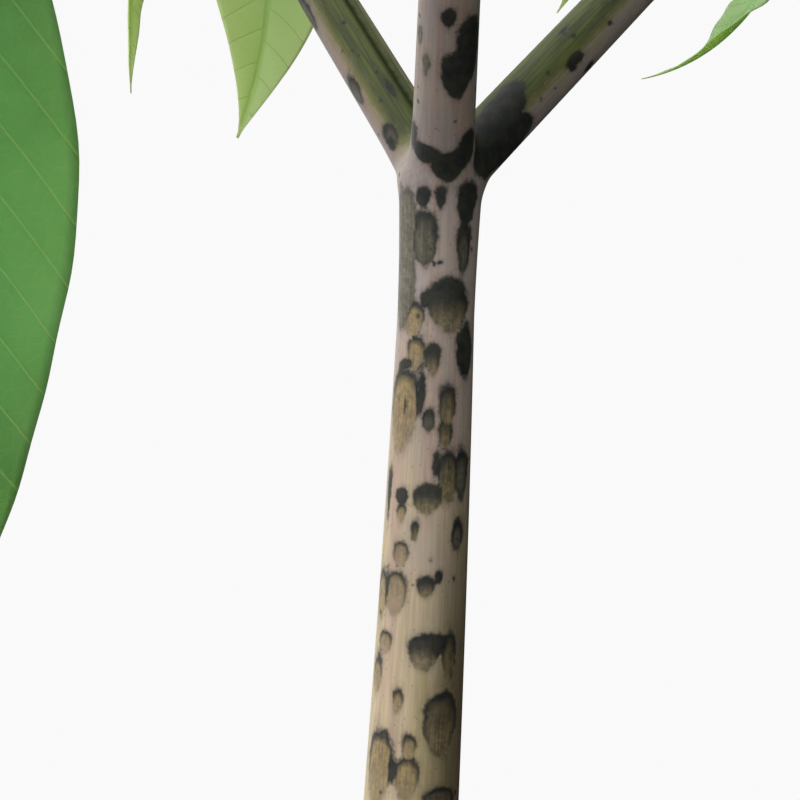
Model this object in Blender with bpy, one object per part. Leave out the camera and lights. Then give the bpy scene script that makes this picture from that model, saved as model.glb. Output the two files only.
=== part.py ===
"""A potted amorphophallus: one mottled leaf stalk that divides in three, each arm in two, with winged
ribs that carry pointed leaflets, standing in soil in a plain clay pot.

The frame has +Z up, with its origin at the centre of the pot's flat foot. Bearings are degrees from +X
towards +Y, and climbs are degrees above the horizon.
"""

import math
import random
from collections import namedtuple

import bpy
from mathutils import Matrix, Vector, noise

MM = 0.001
GAP = 0.3 * MM  # clearance between pieces that touch
SEED = 7

# The pot
POT_HEIGHT = 158 * MM
POT_RIM_RADIUS = 93 * MM
POT_RIM_HEIGHT = 27 * MM
POT_RIM_STEP = 4.5 * MM
POT_FOOT_RADIUS = 62 * MM
POT_WALL = 6 * MM
POT_FLOOR = 8 * MM
POT_EDGE = 1.5 * MM
POT_SIDES = 48
DRAIN_RADIUS = 6 * MM
DRAIN_CIRCLE = 32 * MM
DRAIN_HOLES = 3
DRAIN_SIDES = 16

# The soil, the tuber in it and the two sheaths round the stalk's foot
SOIL_TOP = 136 * MM
SOIL_CROWN = 3 * MM  # how far the top swells up round the stalk
SOIL_BUMPS = 1.5 * MM
SOIL_BUMP_SIZE = 9 * MM
SOIL_RINGS = 6
SOIL_SIDES = 36
TUBER_RADIUS = 34 * MM
TUBER_TOP = 106 * MM
TUBER_BOTTOM = 60 * MM
TUBER_SHOULDER = 66  # degrees above the tuber's middle, where its flat crown starts
TUBER_RINGS = 8
TUBER_SIDES = 28
SHEATH_WALL = 0.9 * MM
SHEATH_DEPTH = 12 * MM
SHEATH_ROWS = 6
SHEATH_COLUMNS = 8
SHEATHS = {  # bearing, arc and height
    "sheath_outer": (205, 168, 84 * MM),
    "sheath_inner": (28, 160, 58 * MM),
}

# The leaf stalk
HUB = Vector((21 * MM, 0, SOIL_TOP + 340 * MM))  # where the lines of the three arms meet
FOOT_LEAN = 0.068  # sideways run for each unit of height, at the soil
HUB_LEAN = 0.035
STALK_FOOT_RADIUS = 13 * MM
STALK_NECK_RADIUS = 7.05 * MM
NECK_DROP = 24 * MM  # how far the narrowest place lies under the hub
STALK_FLARE = 0.6 * MM
STALK_SIDES = 20
STALK_RINGS = 16
STALK_DOME = ((2.5 * MM, 0.9), (5 * MM, 0.66), (6.5 * MM, 0.34))  # height over the hub, share of the radius

# The three arms: bearing, lean from the vertical, length and radius
ARMS = {
    "front": (272.5, 40, 80 * MM, 5.8 * MM),
    "right": (22, 45, 84 * MM, 5.45 * MM),
    "left": (127, 43, 82 * MM, 5.5 * MM),
}
ARM_SINK = 3 * MM  # how far under the hub an arm starts, inside the stalk
ARM_ROOT_SWELL = 0.1
ARM_ROOT_LENGTH = 20 * MM
ARM_TIP_SHARE = 0.86
ARM_STEPS = 10
ARM_SIDES = 14
GROOVE_DEPTH = 0.34  # of the radius
GROOVE_SPREAD = 15  # degrees round the arm
GROOVE_TURNS = {"front": 0, "right": -26, "left": 0}  # degrees by which a groove lies off the upper side

# The forks of the arms: each starts as a short stub on its arm, and carries on as a winged rib
Fork = namedtuple("Fork", "arm side split_start split_end climb_end")
FORKS = {
    "front_a": Fork("front", 1, 20, 46, -36),
    "front_b": Fork("front", -1, 18, 33, -66),
    "right_a": Fork("right", 1, 20, 42, -26),
    "right_b": Fork("right", -1, 20, 46, -42),
    "left_a": Fork("left", 1, 22, 60, -40),
    "left_b": Fork("left", -1, 20, 38, 2),
}
FORK_LENGTH = 186 * MM
FORK_STEPS = 12
FORK_SINK = 3 * MM  # how far inside the arm's end a fork starts
RIB_HALF_WIDTH = 3.9 * MM
RIB_HALF_HEIGHT = 2.8 * MM
RIB_TIP_SHARE = 0.36
RIB_SIDES = 8

# The leaflets of one rib: share of the way along it, outer (1) or inner (-1) side, spread and length
LEAFLETS = (
    (0.05, 1, 78, 58 * MM),
    (0.21, 1, 74, 70 * MM),
    (0.27, -1, 40, 42 * MM),
    (0.38, 1, 70, 82 * MM),
    (0.44, -1, 52, 60 * MM),
    (0.55, 1, 64, 90 * MM),
    (0.61, -1, 56, 76 * MM),
    (0.72, 1, 56, 96 * MM),
    (0.79, -1, 48, 86 * MM),
    (0.88, 1, 42, 94 * MM),
    (1.00, 0, 0, 104 * MM),
)
# Leaflets that twist on their stalks: bend and tip in millimetres, the way each blade faces, its half width
Aim = namedtuple("Aim", "bend tip face width")
AIMS = {
    ("left_a", 0): Aim((-38.5, 11.9, 538.5), (-36, 4.2, 493.6), (1.1, -0.42, 0.26), 7.8),
    ("left_b", 2): Aim((-5.8, 60, 525), (-19.8, 60, 490.7), (0.2, -1, 0.08), 14),
    ("right_b", 0): Aim((82.5, -16.5, 499.6), (56.3, -15.7, 494), (-0.68, 0.13, 1.26), 5.5),
    ("right_a", 0): Aim((66, 80, 548), (48, 100, 522), (0, 0.4, 0.9), 9),
    ("front_b", 10): Aim((-41.2, -198, 434.2), (-37.1, -200, 404.4), (-0.23, -1, 0.05), 18.3),
}
BLADE_STEPS = 8
BLADE_WIDTH = 0.215  # half the width, as a share of the length
BLADE_THICKNESS = 0.7 * MM
BLADE_FOLD = 0.22
BLADE_SKEW = 0.78  # below 1, the broadest place lies nearer the leaflet's foot
BLADE_POINT = 1.25  # above 1, the tip is drawn out
BLADE_LEAST = 0.05  # half the width at foot and tip, as a share of its greatest
BLADE_DROOP = 0.55
WAVE_HEIGHT = 1.6 * MM
WAVES = 2.2  # along a leaflet's margin

Station = namedtuple("Station", "point forward upper")


def clear_scene():
    """Removes the scene's objects."""
    for obj in list(bpy.data.objects):
        bpy.data.objects.remove(obj)


def finish_of(name, colour, roughness, metallic=0.0):
    """A Principled BSDF material with a linear colour."""
    made = bpy.data.materials.new(name)
    made.use_nodes = True
    shader = made.node_tree.nodes["Principled BSDF"]
    shader.inputs["Base Color"].default_value = (*colour, 1)
    shader.inputs["Roughness"].default_value = roughness
    shader.inputs["Metallic"].default_value = metallic
    return made


def solid(name, points, faces, finish):
    """An object made from points and faces, with its normals facing out and round sides shaded smooth."""
    mesh = bpy.data.meshes.new(name)
    mesh.from_pydata([tuple(p) for p in points], [], faces)
    mesh.materials.append(finish)
    mesh.shade_smooth()
    mesh.set_sharp_from_angle(angle=math.radians(35))
    mesh.update()
    obj = bpy.data.objects.new(name, mesh)
    bpy.context.scene.collection.objects.link(obj)
    return obj


def evaluated(obj):
    """Replaces the object's mesh with its evaluated one, and drops its modifiers."""
    graph = bpy.context.evaluated_depsgraph_get()
    mesh = bpy.data.meshes.new_from_object(obj.evaluated_get(graph))
    obj.modifiers.clear()
    obj.data = mesh


def joined(name, pieces, operation="UNION"):
    """The first piece with the others joined to it, or cut from it, as one body."""
    body, others = pieces[0], pieces[1:]
    group = bpy.data.collections.new(name + "_pieces")
    bpy.context.scene.collection.children.link(group)
    for piece in others:
        bpy.context.scene.collection.objects.unlink(piece)
        group.objects.link(piece)
    change = body.modifiers.new("Join", "BOOLEAN")
    change.operation = operation
    change.operand_type = "COLLECTION"
    change.collection = group
    change.solver = "EXACT"
    evaluated(body)
    for piece in others:
        bpy.data.objects.remove(piece)
    bpy.data.collections.remove(group)
    body.name = name
    return body


def heading(bearing, climb):
    """The unit vector along a bearing and a climb."""
    b, c = math.radians(bearing), math.radians(climb)
    return Vector((math.cos(b) * math.cos(c), math.sin(b) * math.cos(c), math.sin(c)))


def ease(share):
    """A share from 0 to 1, eased at both ends."""
    share = min(max(share, 0.0), 1.0)
    return share * share * (3 - 2 * share)


def between(low, high, share):
    """The value that lies a share of the way from low to high."""
    return low + (high - low) * share


def walk(start, length, steps, bearing_at, climb_at):
    """Stations along a line from start, whose bearing and climb are functions of the share walked."""
    point, stations = start.copy(), []
    for i in range(steps + 1):
        share = i / steps
        bearing, climb = bearing_at(share), climb_at(share)
        stations.append(Station(point.copy(), heading(bearing, climb), heading(bearing, climb + 90)))
        middle = share + 0.5 / steps
        point += heading(bearing_at(middle), climb_at(middle)) * (length / steps)
    return stations


def lathe(name, profile, sides, finish):
    """A solid turned about the Z axis from (radius, height) points; a point on the axis is a pole."""
    points, rings = [], []
    for radius, height in profile:
        if radius == 0:
            rings.append([len(points)])
            points.append(Vector((0, 0, height)))
            continue
        rings.append(range(len(points), len(points) + sides))
        for k in range(sides):
            points.append(heading(360 * k / sides, 0) * radius + Vector((0, 0, height)))
    return solid(name, points, bridged(rings, sides), finish)


def bridged(rings, sides):
    """Faces between rings of points, anticlockwise seen from the last one. One point alone is a pole."""
    faces = []
    for low, high in zip(rings, rings[1:]):
        for k in range(sides):
            n = (k + 1) % sides
            if len(low) == 1:
                faces.append((low[0], high[n], high[k]))
            elif len(high) == 1:
                faces.append((low[k], low[n], high[0]))
            else:
                faces.append((low[k], low[n], high[n], high[k]))
    return faces


def tube(name, stations, section_at, sides, finish):
    """A closed tube through the stations. section_at(i, angle) gives its (sideways, upper) offsets."""
    points, rings = [], []
    for i, station in enumerate(stations):
        across = station.forward.cross(station.upper)
        rings.append(range(len(points), len(points) + sides))
        for k in range(sides):
            sideways, above = section_at(i, math.tau * k / sides)
            points.append(station.point - across * sideways + station.upper * above)
    faces = bridged(rings, sides)
    faces.append(tuple(reversed(rings[0])))
    faces.append(tuple(rings[-1]))
    return solid(name, points, faces, finish)


# The pot


def build_pot(finish):
    """The pot: a tapered wall with a thick rim, a floor and drain holes."""
    collar = POT_HEIGHT - POT_RIM_HEIGHT
    body_radius = POT_RIM_RADIUS - POT_RIM_STEP
    profile = [
        (0, 0),
        (POT_FOOT_RADIUS - POT_EDGE, 0),
        (POT_FOOT_RADIUS, POT_EDGE),
        (between(POT_FOOT_RADIUS, body_radius, collar / POT_HEIGHT), collar - POT_EDGE),
        (POT_RIM_RADIUS - POT_EDGE, collar),
        (POT_RIM_RADIUS, collar + POT_EDGE),
        (POT_RIM_RADIUS, POT_HEIGHT - POT_EDGE),
        (POT_RIM_RADIUS - POT_EDGE, POT_HEIGHT),
        (POT_RIM_RADIUS - POT_WALL - POT_EDGE, POT_HEIGHT),
        (inner_radius(POT_HEIGHT - 2 * POT_EDGE), POT_HEIGHT - 2 * POT_EDGE),
        (inner_radius(POT_FLOOR), POT_FLOOR),
        (0, POT_FLOOR),
    ]
    pot = lathe("pot", profile, POT_SIDES, finish)
    drill_low, drill_high = -POT_FLOOR, 2 * POT_FLOOR
    drill_outline = [(0, drill_low), (DRAIN_RADIUS, drill_low), (DRAIN_RADIUS, drill_high), (0, drill_high)]
    drills = []
    for k in range(DRAIN_HOLES):
        drill = lathe(f"drill_{k}", drill_outline, DRAIN_SIDES, finish)
        drill.location = heading(90 + 360 * k / DRAIN_HOLES, 0) * DRAIN_CIRCLE
        drills.append(drill)
    return joined("pot", [pot, *drills], "DIFFERENCE")


def inner_radius(height):
    """The pot's inner radius at a height."""
    low, high = POT_FOOT_RADIUS - POT_WALL, POT_RIM_RADIUS - POT_RIM_STEP - POT_WALL
    return between(low, high, (height - POT_FLOOR) / (POT_HEIGHT - POT_FLOOR))


# The soil and what is in it


def tuber_profile(growth):
    """The tuber's outline from its foot to the edge of its crown, grown by a clearance."""
    middle = (TUBER_TOP + TUBER_BOTTOM) / 2
    half = (TUBER_TOP - TUBER_BOTTOM) / 2 + growth
    outline = [(0, middle - half)]
    for i in range(1, TUBER_RINGS + 1):
        angle = math.radians(between(-90, TUBER_SHOULDER, i / TUBER_RINGS))
        outline.append(((TUBER_RADIUS + growth) * math.cos(angle) ** 0.8, middle + half * math.sin(angle)))
    return outline


def build_tuber(finish):
    """The flattened round tuber, with a crown that the stalk stands on."""
    profile = tuber_profile(0) + [(STALK_FOOT_RADIUS, TUBER_TOP), (0, TUBER_TOP)]
    return lathe("tuber", profile, TUBER_SIDES, finish)


def build_soil(finish):
    """The soil: it fills the pot round the tuber, with a plain hole for the stalk and a crumbled top."""
    bottom = POT_FLOOR + GAP
    top_radius = inner_radius(SOIL_TOP) - GAP
    hole = STALK_FOOT_RADIUS + GAP
    mouth = hole + SHEATH_WALL + 2 * GAP
    profile = [(0, bottom), (inner_radius(bottom) - GAP, bottom), (top_radius, SOIL_TOP)]
    for i in range(1, SOIL_RINGS):
        share = i / SOIL_RINGS
        swell = SOIL_CROWN * math.sin(share * math.pi / 2)
        profile.append((between(top_radius, mouth, share), SOIL_TOP + swell))
    profile += [
        (mouth, SOIL_TOP),
        (mouth, SOIL_TOP - SHEATH_DEPTH),
        (hole, SOIL_TOP - SHEATH_DEPTH),
        (hole, TUBER_TOP + 2 * GAP),
    ]
    profile += reversed(tuber_profile(GAP))
    soil = lathe("soil", profile, SOIL_SIDES, finish)
    for vertex in soil.data.vertices:
        if vertex.co.z > SOIL_TOP + GAP:
            vertex.co.z += SOIL_BUMPS * noise.noise(vertex.co / SOIL_BUMP_SIZE)
    return soil


def build_sheath(name, bearing, arc, height, finish):
    """A papery scale leaf that wraps part of the stalk's foot and narrows to a point."""
    inner = STALK_FOOT_RADIUS + 2 * GAP
    outer = inner + SHEATH_WALL
    low = SOIL_TOP - SHEATH_DEPTH + GAP
    points = []
    for skin in (inner, outer):
        for r in range(SHEATH_ROWS + 1):
            rise = r / SHEATH_ROWS
            z = between(low, SOIL_TOP + height, rise)
            half = arc / 2 * max(1 - rise**1.8, 0.02) ** 0.7
            axis = stalk_centre(z)
            for c in range(SHEATH_COLUMNS + 1):
                angle = bearing + between(-half, half, c / SHEATH_COLUMNS)
                points.append(axis + heading(angle, 0) * skin)
    return sheet_solid(name, points, SHEATH_ROWS, SHEATH_COLUMNS, finish)


def sheet_solid(name, points, rows, columns, finish):
    """A closed solid from two skins of points in rows and columns, split alike. The first faces back."""
    wide = columns + 1
    skin = (rows + 1) * wide
    faces = []
    for r in range(rows):
        for c in range(columns):
            a, b = r * wide + c, r * wide + c + 1
            d, e = a + wide, b + wide
            faces += [(a, e, b), (a, d, e)]
            faces += [(skin + a, skin + b, skin + e), (skin + a, skin + e, skin + d)]
    border = [(0, c) for c in range(columns)] + [(r, columns) for r in range(rows)]
    border += [(rows, c) for c in range(columns, 0, -1)] + [(r, 0) for r in range(rows, 0, -1)]
    loop = [r * wide + c for r, c in border]
    for a, b in zip(loop, loop[1:] + loop[:1]):
        faces += [(a, b, skin + b), (a, skin + b, skin + a)]
    return solid(name, points, faces, finish)


# The leaf stalk and its arms


def stalk_centre(height):
    """The stalk's centre at a height: upright in the soil, then a slow bend to one side."""
    share = min(max((height - SOIL_TOP) / (HUB.z - SOIL_TOP), 0), 1.02)
    span = HUB.z - SOIL_TOP
    foot_pull = (share**3 - 2 * share**2 + share) * span * FOOT_LEAN
    hub_pull = (share**3 - share**2) * span * HUB_LEAN
    return Vector((foot_pull + (3 * share**2 - 2 * share**3) * HUB.x + hub_pull, 0, height))


def stalk_radius(height):
    """The stalk's radius at a height: an even taper, with a slight flare under the hub."""
    drop = HUB.z - height
    if drop < NECK_DROP:
        return STALK_NECK_RADIUS + STALK_FLARE * (1 - drop / NECK_DROP) ** 2
    span = HUB.z - SOIL_TOP - NECK_DROP
    share = min((drop - NECK_DROP) / span, 1)
    return between(STALK_NECK_RADIUS, STALK_FOOT_RADIUS, share)


def build_stalk_tube(finish):
    """The stalk from the tuber's crown to a domed top inside the hub."""
    heights = [TUBER_TOP + GAP]
    heights += [between(SOIL_TOP, HUB.z, i / STALK_RINGS) for i in range(STALK_RINGS + 1)]
    stations, radii = [], []
    for height in heights:
        stations.append(Station(stalk_centre(height), Vector((0, 0, 1)), Vector((0, 1, 0))))
        radii.append(stalk_radius(height))
    for rise, share in STALK_DOME:
        height = HUB.z + rise
        stations.append(Station(stalk_centre(height), Vector((0, 0, 1)), Vector((0, 1, 0))))
        radii.append(STALK_NECK_RADIUS * share)

    def section(i, angle):
        return radii[i] * math.cos(angle), radii[i] * math.sin(angle)

    return tube("stalk", stations, section, STALK_SIDES, finish)


def arm_line(arm):
    """The stations of an arm, which runs straight from inside the stalk to its forks."""
    bearing, lean, length, _ = ARMS[arm]
    start = HUB - heading(bearing, 90 - lean) * ARM_SINK
    return walk(start, length + ARM_SINK, ARM_STEPS, lambda share: bearing, lambda share: 90 - lean)


def fork_line(name):
    """The stations of a fork: side 1 turns to the left of the arm's way, and -1 to the right."""
    fork = FORKS[name]
    bearing, lean, _, _ = ARMS[fork.arm]
    end = arm_line(fork.arm)[-1]
    start = end.point - end.forward * FORK_SINK

    def bearing_at(share):
        return bearing + fork.side * between(fork.split_start, fork.split_end, share)

    def climb_at(share):
        return between(90 - lean, fork.climb_end, share)

    return walk(start, FORK_LENGTH, FORK_STEPS, bearing_at, climb_at)


def arm_section(radius, angle, turn):
    """A point of an arm's round section, with the narrow groove along its upper side or turned off it."""
    off = (math.degrees(angle) - 90 - turn + 180) % 360 - 180
    r = radius * (1 - GROOVE_DEPTH * math.exp(-((off / GROOVE_SPREAD) ** 2)))
    return r * math.cos(angle), r * math.sin(angle)


def rib_section(share, angle):
    """A point of a rib's flattened section at a share of the way along the fork."""
    size = between(1, RIB_TIP_SHARE, share)
    x, y = math.cos(angle), math.sin(angle)
    return RIB_HALF_WIDTH * size * x, RIB_HALF_HEIGHT * size * y * (0.55 + 0.45 * abs(y))


def arm_radius(arm, share):
    """An arm's radius at a share of the way along it: an even taper, swollen at its root."""
    _, _, length, radius = ARMS[arm]
    swell = 1 + ARM_ROOT_SWELL * (1 - ease(share * length / ARM_ROOT_LENGTH))
    return radius * swell * between(1, ARM_TIP_SHARE, share)


def build_petiole(finish):
    """The stalk, its three arms and their six stubs, grown as one piece."""
    pieces = [build_stalk_tube(finish)]
    for arm in ARMS:

        def section(i, angle, arm=arm):
            return arm_section(arm_radius(arm, i / ARM_STEPS), angle, GROOVE_TURNS[arm])

        pieces.append(tube("arm", arm_line(arm), section, ARM_SIDES, finish))

    def stub_section(i, angle):
        return rib_section(i / FORK_STEPS, angle)

    for name in FORKS:
        pieces.append(tube("stub", fork_line(name)[:2], stub_section, RIB_SIDES, finish))
    return joined("petiole", pieces)


# The fronds


def half_width(share):
    """A leaflet's half width at a share of its length, as a share of its greatest half width."""
    return math.hypot(math.sin(math.pi * share**BLADE_SKEW) ** BLADE_POINT, BLADE_LEAST)


def leaflet_line(base, forward, upper, length):
    """Stations along a leaflet's midrib, which bends down under its own weight."""
    down = Vector((0, 0, -1))
    bend = base + forward * (length * 0.5)
    tip = bend + (forward * (1 - BLADE_DROOP) + down * BLADE_DROOP).normalized() * (length * 0.5)
    return curve_line(base, bend, tip, upper)


def curve_line(base, bend, tip, upper):
    """Stations along a curve from base to tip that a bend point pulls, with upper carried along."""
    stations = []
    for i in range(BLADE_STEPS + 1):
        share = i / BLADE_STEPS
        point = base * (1 - share) ** 2 + bend * 2 * share * (1 - share) + tip * share**2
        forward = ((bend - base) * (1 - share) + (tip - bend) * share).normalized()
        upper = (upper - forward * upper.dot(forward)).normalized()
        stations.append(Station(point, forward, upper))
    return stations


def build_blade(name, stations, width, phase, finish):
    """A leaflet: a thin blade folded up from its midrib, with waved margins."""
    skins = ([], [])
    for i, station in enumerate(stations):
        share = i / BLADE_STEPS
        across = station.forward.cross(station.upper)
        half = width * half_width(share)
        for column in (-1, 0, 1):
            wave = WAVE_HEIGHT * math.sin(math.tau * WAVES * share + phase + column) * half / width
            lift = (BLADE_FOLD * half + wave) * abs(column)
            point = station.point + across * (half * column) + station.upper * lift
            for skin, turn in zip(skins, (-0.5, 0.5)):
                skin.append(point + station.upper * (BLADE_THICKNESS * turn))
    return sheet_solid(name, skins[0] + skins[1], BLADE_STEPS, 2, finish)


def leaflet_at(name, number, line, draw):
    """The stations and the half width of one of a fork's leaflets."""
    share, leaf_side, spread, length = LEAFLETS[number]
    place = share * (len(line) - 1)
    low = min(int(place), len(line) - 2)
    station = line[low]
    base = station.point.lerp(line[low + 1].point, place - low)
    swing, sag, long = draw.uniform(-4, 4), draw.uniform(0.1, 0.3), draw.uniform(0.94, 1.06)
    tilt = Vector((draw.uniform(-0.15, 0.15), draw.uniform(-0.15, 0.15), 0))
    if (name, number) in AIMS:
        aim = AIMS[name, number]
        bend, tip = Vector(aim.bend) * MM, Vector(aim.tip) * MM
        return curve_line(base, bend, tip, Vector(aim.face)), aim.width * MM
    turn = math.radians(leaf_side * FORKS[name].side * spread + swing)
    forward = Matrix.Rotation(turn, 3, station.upper) @ station.forward
    forward = (forward - Vector((0, 0, sag))).normalized()
    length *= long
    return leaflet_line(base, forward, station.upper + tilt, length), length * BLADE_WIDTH


def build_frond(name, finish, draw):
    """One rib with its leaflets grown on it."""
    line = fork_line(name)[1:]
    line[0] = Station(line[0].point + line[0].forward * GAP, line[0].forward, line[0].upper)

    def section(i, angle):
        return rib_section((i + 1) / FORK_STEPS, angle)

    pieces = [tube("rib", line, section, RIB_SIDES, finish)]
    for number in range(len(LEAFLETS)):
        stations, width = leaflet_at(name, number, line, draw)
        pieces.append(build_blade("leaflet", stations, width, draw.uniform(0, math.tau), finish))
    return joined("frond_" + name, pieces)


def main():
    """Builds every piece."""
    clear_scene()
    draw = random.Random(SEED)
    clay = finish_of("terracotta", (0.48, 0.19, 0.09), 0.85)
    compost = finish_of("compost", (0.035, 0.022, 0.014), 0.95)
    skin = finish_of("tuber_skin", (0.16, 0.09, 0.05), 0.85)
    paper = finish_of("dry_sheath", (0.30, 0.19, 0.11), 0.7)
    stalk = finish_of("mottled_stalk", (0.42, 0.35, 0.26), 0.5)
    leaf = finish_of("leaf_green", (0.09, 0.24, 0.04), 0.45)
    build_pot(clay)
    build_soil(compost)
    build_tuber(skin)
    for name, (bearing, arc, height) in SHEATHS.items():
        build_sheath(name, bearing, arc, height, paper)
    build_petiole(stalk)
    for name in FORKS:
        build_frond(name, leaf, draw)


main()
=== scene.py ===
"""A potted amorphophallus, dressed for its picture.

One mottled leaf stalk rises from a terracotta pot of compost and divides into three channelled arms. Each arm forks
once, and each fork ends in a frond of eleven pointed leaflets. Lengths are in millimetres up to the moment a mesh is
made, bearings are degrees from +X towards +Y, and climbs are degrees above the horizon. The lines that the limbs and
leaflets follow repeat the values of the solids, so that every piece lies where its solid is.
"""

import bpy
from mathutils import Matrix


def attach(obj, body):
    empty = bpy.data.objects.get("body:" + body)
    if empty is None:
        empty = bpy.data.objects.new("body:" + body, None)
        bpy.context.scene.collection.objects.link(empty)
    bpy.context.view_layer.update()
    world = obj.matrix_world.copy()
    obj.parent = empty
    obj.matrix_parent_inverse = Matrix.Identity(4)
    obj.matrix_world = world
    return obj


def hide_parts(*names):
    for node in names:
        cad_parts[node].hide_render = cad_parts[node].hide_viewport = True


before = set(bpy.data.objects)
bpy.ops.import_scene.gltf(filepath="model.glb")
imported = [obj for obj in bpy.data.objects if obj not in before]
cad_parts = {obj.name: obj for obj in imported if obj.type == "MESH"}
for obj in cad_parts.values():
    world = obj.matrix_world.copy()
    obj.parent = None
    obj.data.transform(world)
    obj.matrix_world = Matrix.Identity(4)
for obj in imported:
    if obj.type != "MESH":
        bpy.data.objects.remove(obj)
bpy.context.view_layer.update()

import logging
import math
import random
from dataclasses import dataclass, field
from enum import Enum
from functools import partial
from typing import Any, Callable, Iterable, Sequence

import bmesh
import bpy
import numpy as np
from mathutils import Matrix, Vector, noise

MM = 0.001
SEED = 7
GAP = 0.3  # the least clearance between two pieces
WAVE = math.tau / 20  # a wave texture of this scale has waves 1 long
STREAK = 0.05  # how much a limb's length is shortened where noise on it makes streaks
DOWN = Vector((0, 0, -1))
LOG = logging.getLogger("amorphophallus")
MODES = {"Math": "operation", "VectorMath": "operation", "Mix": "data_type", "MapRange": "interpolation_type"}

Array = np.ndarray
Fields = dict[str, Array]
Shape = tuple[Array, Any]
Triple = tuple[float, float, float]
Node = bpy.types.Node
Socket = bpy.types.NodeSocket
Adder = Callable[..., Node]


# Small helpers


def linear(hex_colour: str) -> tuple[float, float, float, float]:
    """Turns six hex digits of an sRGB colour to linear red, green and blue, with an alpha of 1."""
    shares = [int(hex_colour[i : i + 2], 16) / 255 for i in (0, 2, 4)]
    return *(s / 12.92 if s <= 0.04045 else ((s + 0.055) / 1.055) ** 2.4 for s in shares), 1.0


def fill(socket: Socket, value: Any) -> None:
    """Links a node or another socket to a socket, or sets its value, where a string is a hex colour.

    Args:
        socket: the socket to fill.
        value: what goes into it.
    """
    if isinstance(value, Node):
        value = next(s for s in value.outputs if s.enabled)
    if isinstance(value, Socket):
        socket.id_data.links.new(value, socket)
    else:
        socket.default_value = linear(value) if isinstance(value, str) else value


def add_node(tree: bpy.types.NodeTree, kind: str, *values: Any, **settings: Any) -> Node:
    """Adds a shader node with its settings and links.

    Args:
        tree: the node tree that it joins.
        kind: the node's type without the leading ShaderNode, and after a space its mode.
        values: what goes into its enabled sockets, in their order.
        settings: properties, and sockets by name.

    Returns:
        The new node.
    """
    kind, _, mode = kind.partition(" ")
    node = tree.nodes.new("ShaderNode" + kind)
    if mode:
        setattr(node, MODES[kind], mode)
    for key, value in settings.items():
        if key in node.bl_rna.properties:
            setattr(node, key, value)
        else:
            fill(node.inputs[key], value)
    for socket, value in zip([s for s in node.inputs if s.enabled], values):
        fill(socket, value)
    return node


def between(low: Any, high: Any, share: Any) -> Any:
    """The value at a share of the way from low to high."""
    return low + (high - low) * share


def ease(share: Any) -> Any:
    """A share that starts and ends its run slowly."""
    share = np.clip(share, 0, 1)
    return share * share * (3 - 2 * share)


def hump(off: Any, spread: float) -> Any:
    """A smooth hump: 1 where off is 0, and nearly gone at twice the spread."""
    return np.exp(-((off / spread) ** 2))


def bearing_off(bearing: Any, line: float) -> Any:
    """How far a bearing lies from a line, from -180 to 180 degrees."""
    return (bearing - line + 180) % 360 - 180


def heading(bearing: float, climb: float) -> Vector:
    """The unit vector with a bearing and a climb in degrees."""
    b, c = math.radians(bearing), math.radians(climb)
    return Vector((math.cos(b) * math.cos(c), math.sin(b) * math.cos(c), math.sin(c)))


def unit(vectors: Array) -> Array:
    """The vectors, each scaled to length 1."""
    return vectors / np.maximum(np.linalg.norm(vectors, axis=-1, keepdims=True), 1e-9)


def place_all(middle: Array, across: Array, upper: Array, x: Array, y: Array) -> Array:
    """A grid of points: a row of offsets across and upwards from each place on a line."""
    return middle[:, None, :] + across[:, None, :] * x[..., None] + upper[:, None, :] * y[..., None]


def grid_faces(rows: int, columns: int, wrap: bool = False, start: int = 0) -> Array:
    """Quads over a grid of points that is stored row by row.

    Args:
        rows: how many rows of points.
        columns: how many points in a row.
        wrap: whether the last column joins the first.
        start: the number of the grid's first point.

    Returns:
        Four point numbers per quad.
    """
    r, c = np.meshgrid(np.arange(rows - 1), np.arange(columns if wrap else columns - 1), indexing="ij")
    near, far = r * columns + c, r * columns + (c + 1) % columns
    return np.stack([near, far, far + columns, near + columns], axis=-1).reshape(-1, 4) + start


def skin_faces(rows: int, columns: int) -> Array:
    """Quads of a closed thin sheet whose upper and lower skins are two grids, one stored after the other.

    Args:
        rows: rows of points in each skin.
        columns: points in a row.

    Returns:
        Four point numbers per quad, the edges included.
    """
    size = rows * columns
    grid = np.arange(size).reshape(rows, columns)
    ring = np.concatenate([grid[0], grid[1:, -1], grid[-1, -2::-1], grid[-2:0:-1, 0]])
    after = np.roll(ring, -1)
    edge = np.stack([ring, ring + size, after + size, after], axis=-1)
    return np.concatenate([grid_faces(rows, columns), grid_faces(rows, columns, start=size)[:, ::-1], edge])


def joined(shapes: Iterable[Shape]) -> tuple[Array, list]:
    """Shapes as one, with the faces of each counted on from those before it.

    Args:
        shapes: points and faces of each.

    Returns:
        Points and faces.
    """
    points, faces, count = [], [], 0
    for shape, shape_faces in shapes:
        points.append(shape)
        faces += [[i + count for i in face] for face in shape_faces]
        count += len(shape)
    return np.concatenate(points), faces


def evaluated(piece: bpy.types.Object) -> bpy.types.Mesh:
    """The mesh of a piece as its modifiers leave it."""
    bpy.context.view_layer.update()
    return bpy.data.meshes.new_from_object(piece.evaluated_get(bpy.context.evaluated_depsgraph_get()))


def put(name: str, data: Any) -> bpy.types.Object:
    """Puts data into the scene as an object.

    Args:
        name: the object's name.
        data: its mesh, light or camera.

    Returns:
        The new object.
    """
    made = bpy.data.objects.new(name, data)
    bpy.context.scene.collection.objects.link(made)
    return made


class Slot(Enum):
    """The record's material slots."""

    TERRACOTTA = "terracotta"
    COMPOST = "compost"
    TUBER_SKIN = "tuber_skin"
    DRY_SHEATH = "dry_sheath"
    MOTTLED_STALK = "mottled_stalk"
    LEAF_GREEN = "leaf_green"


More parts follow.
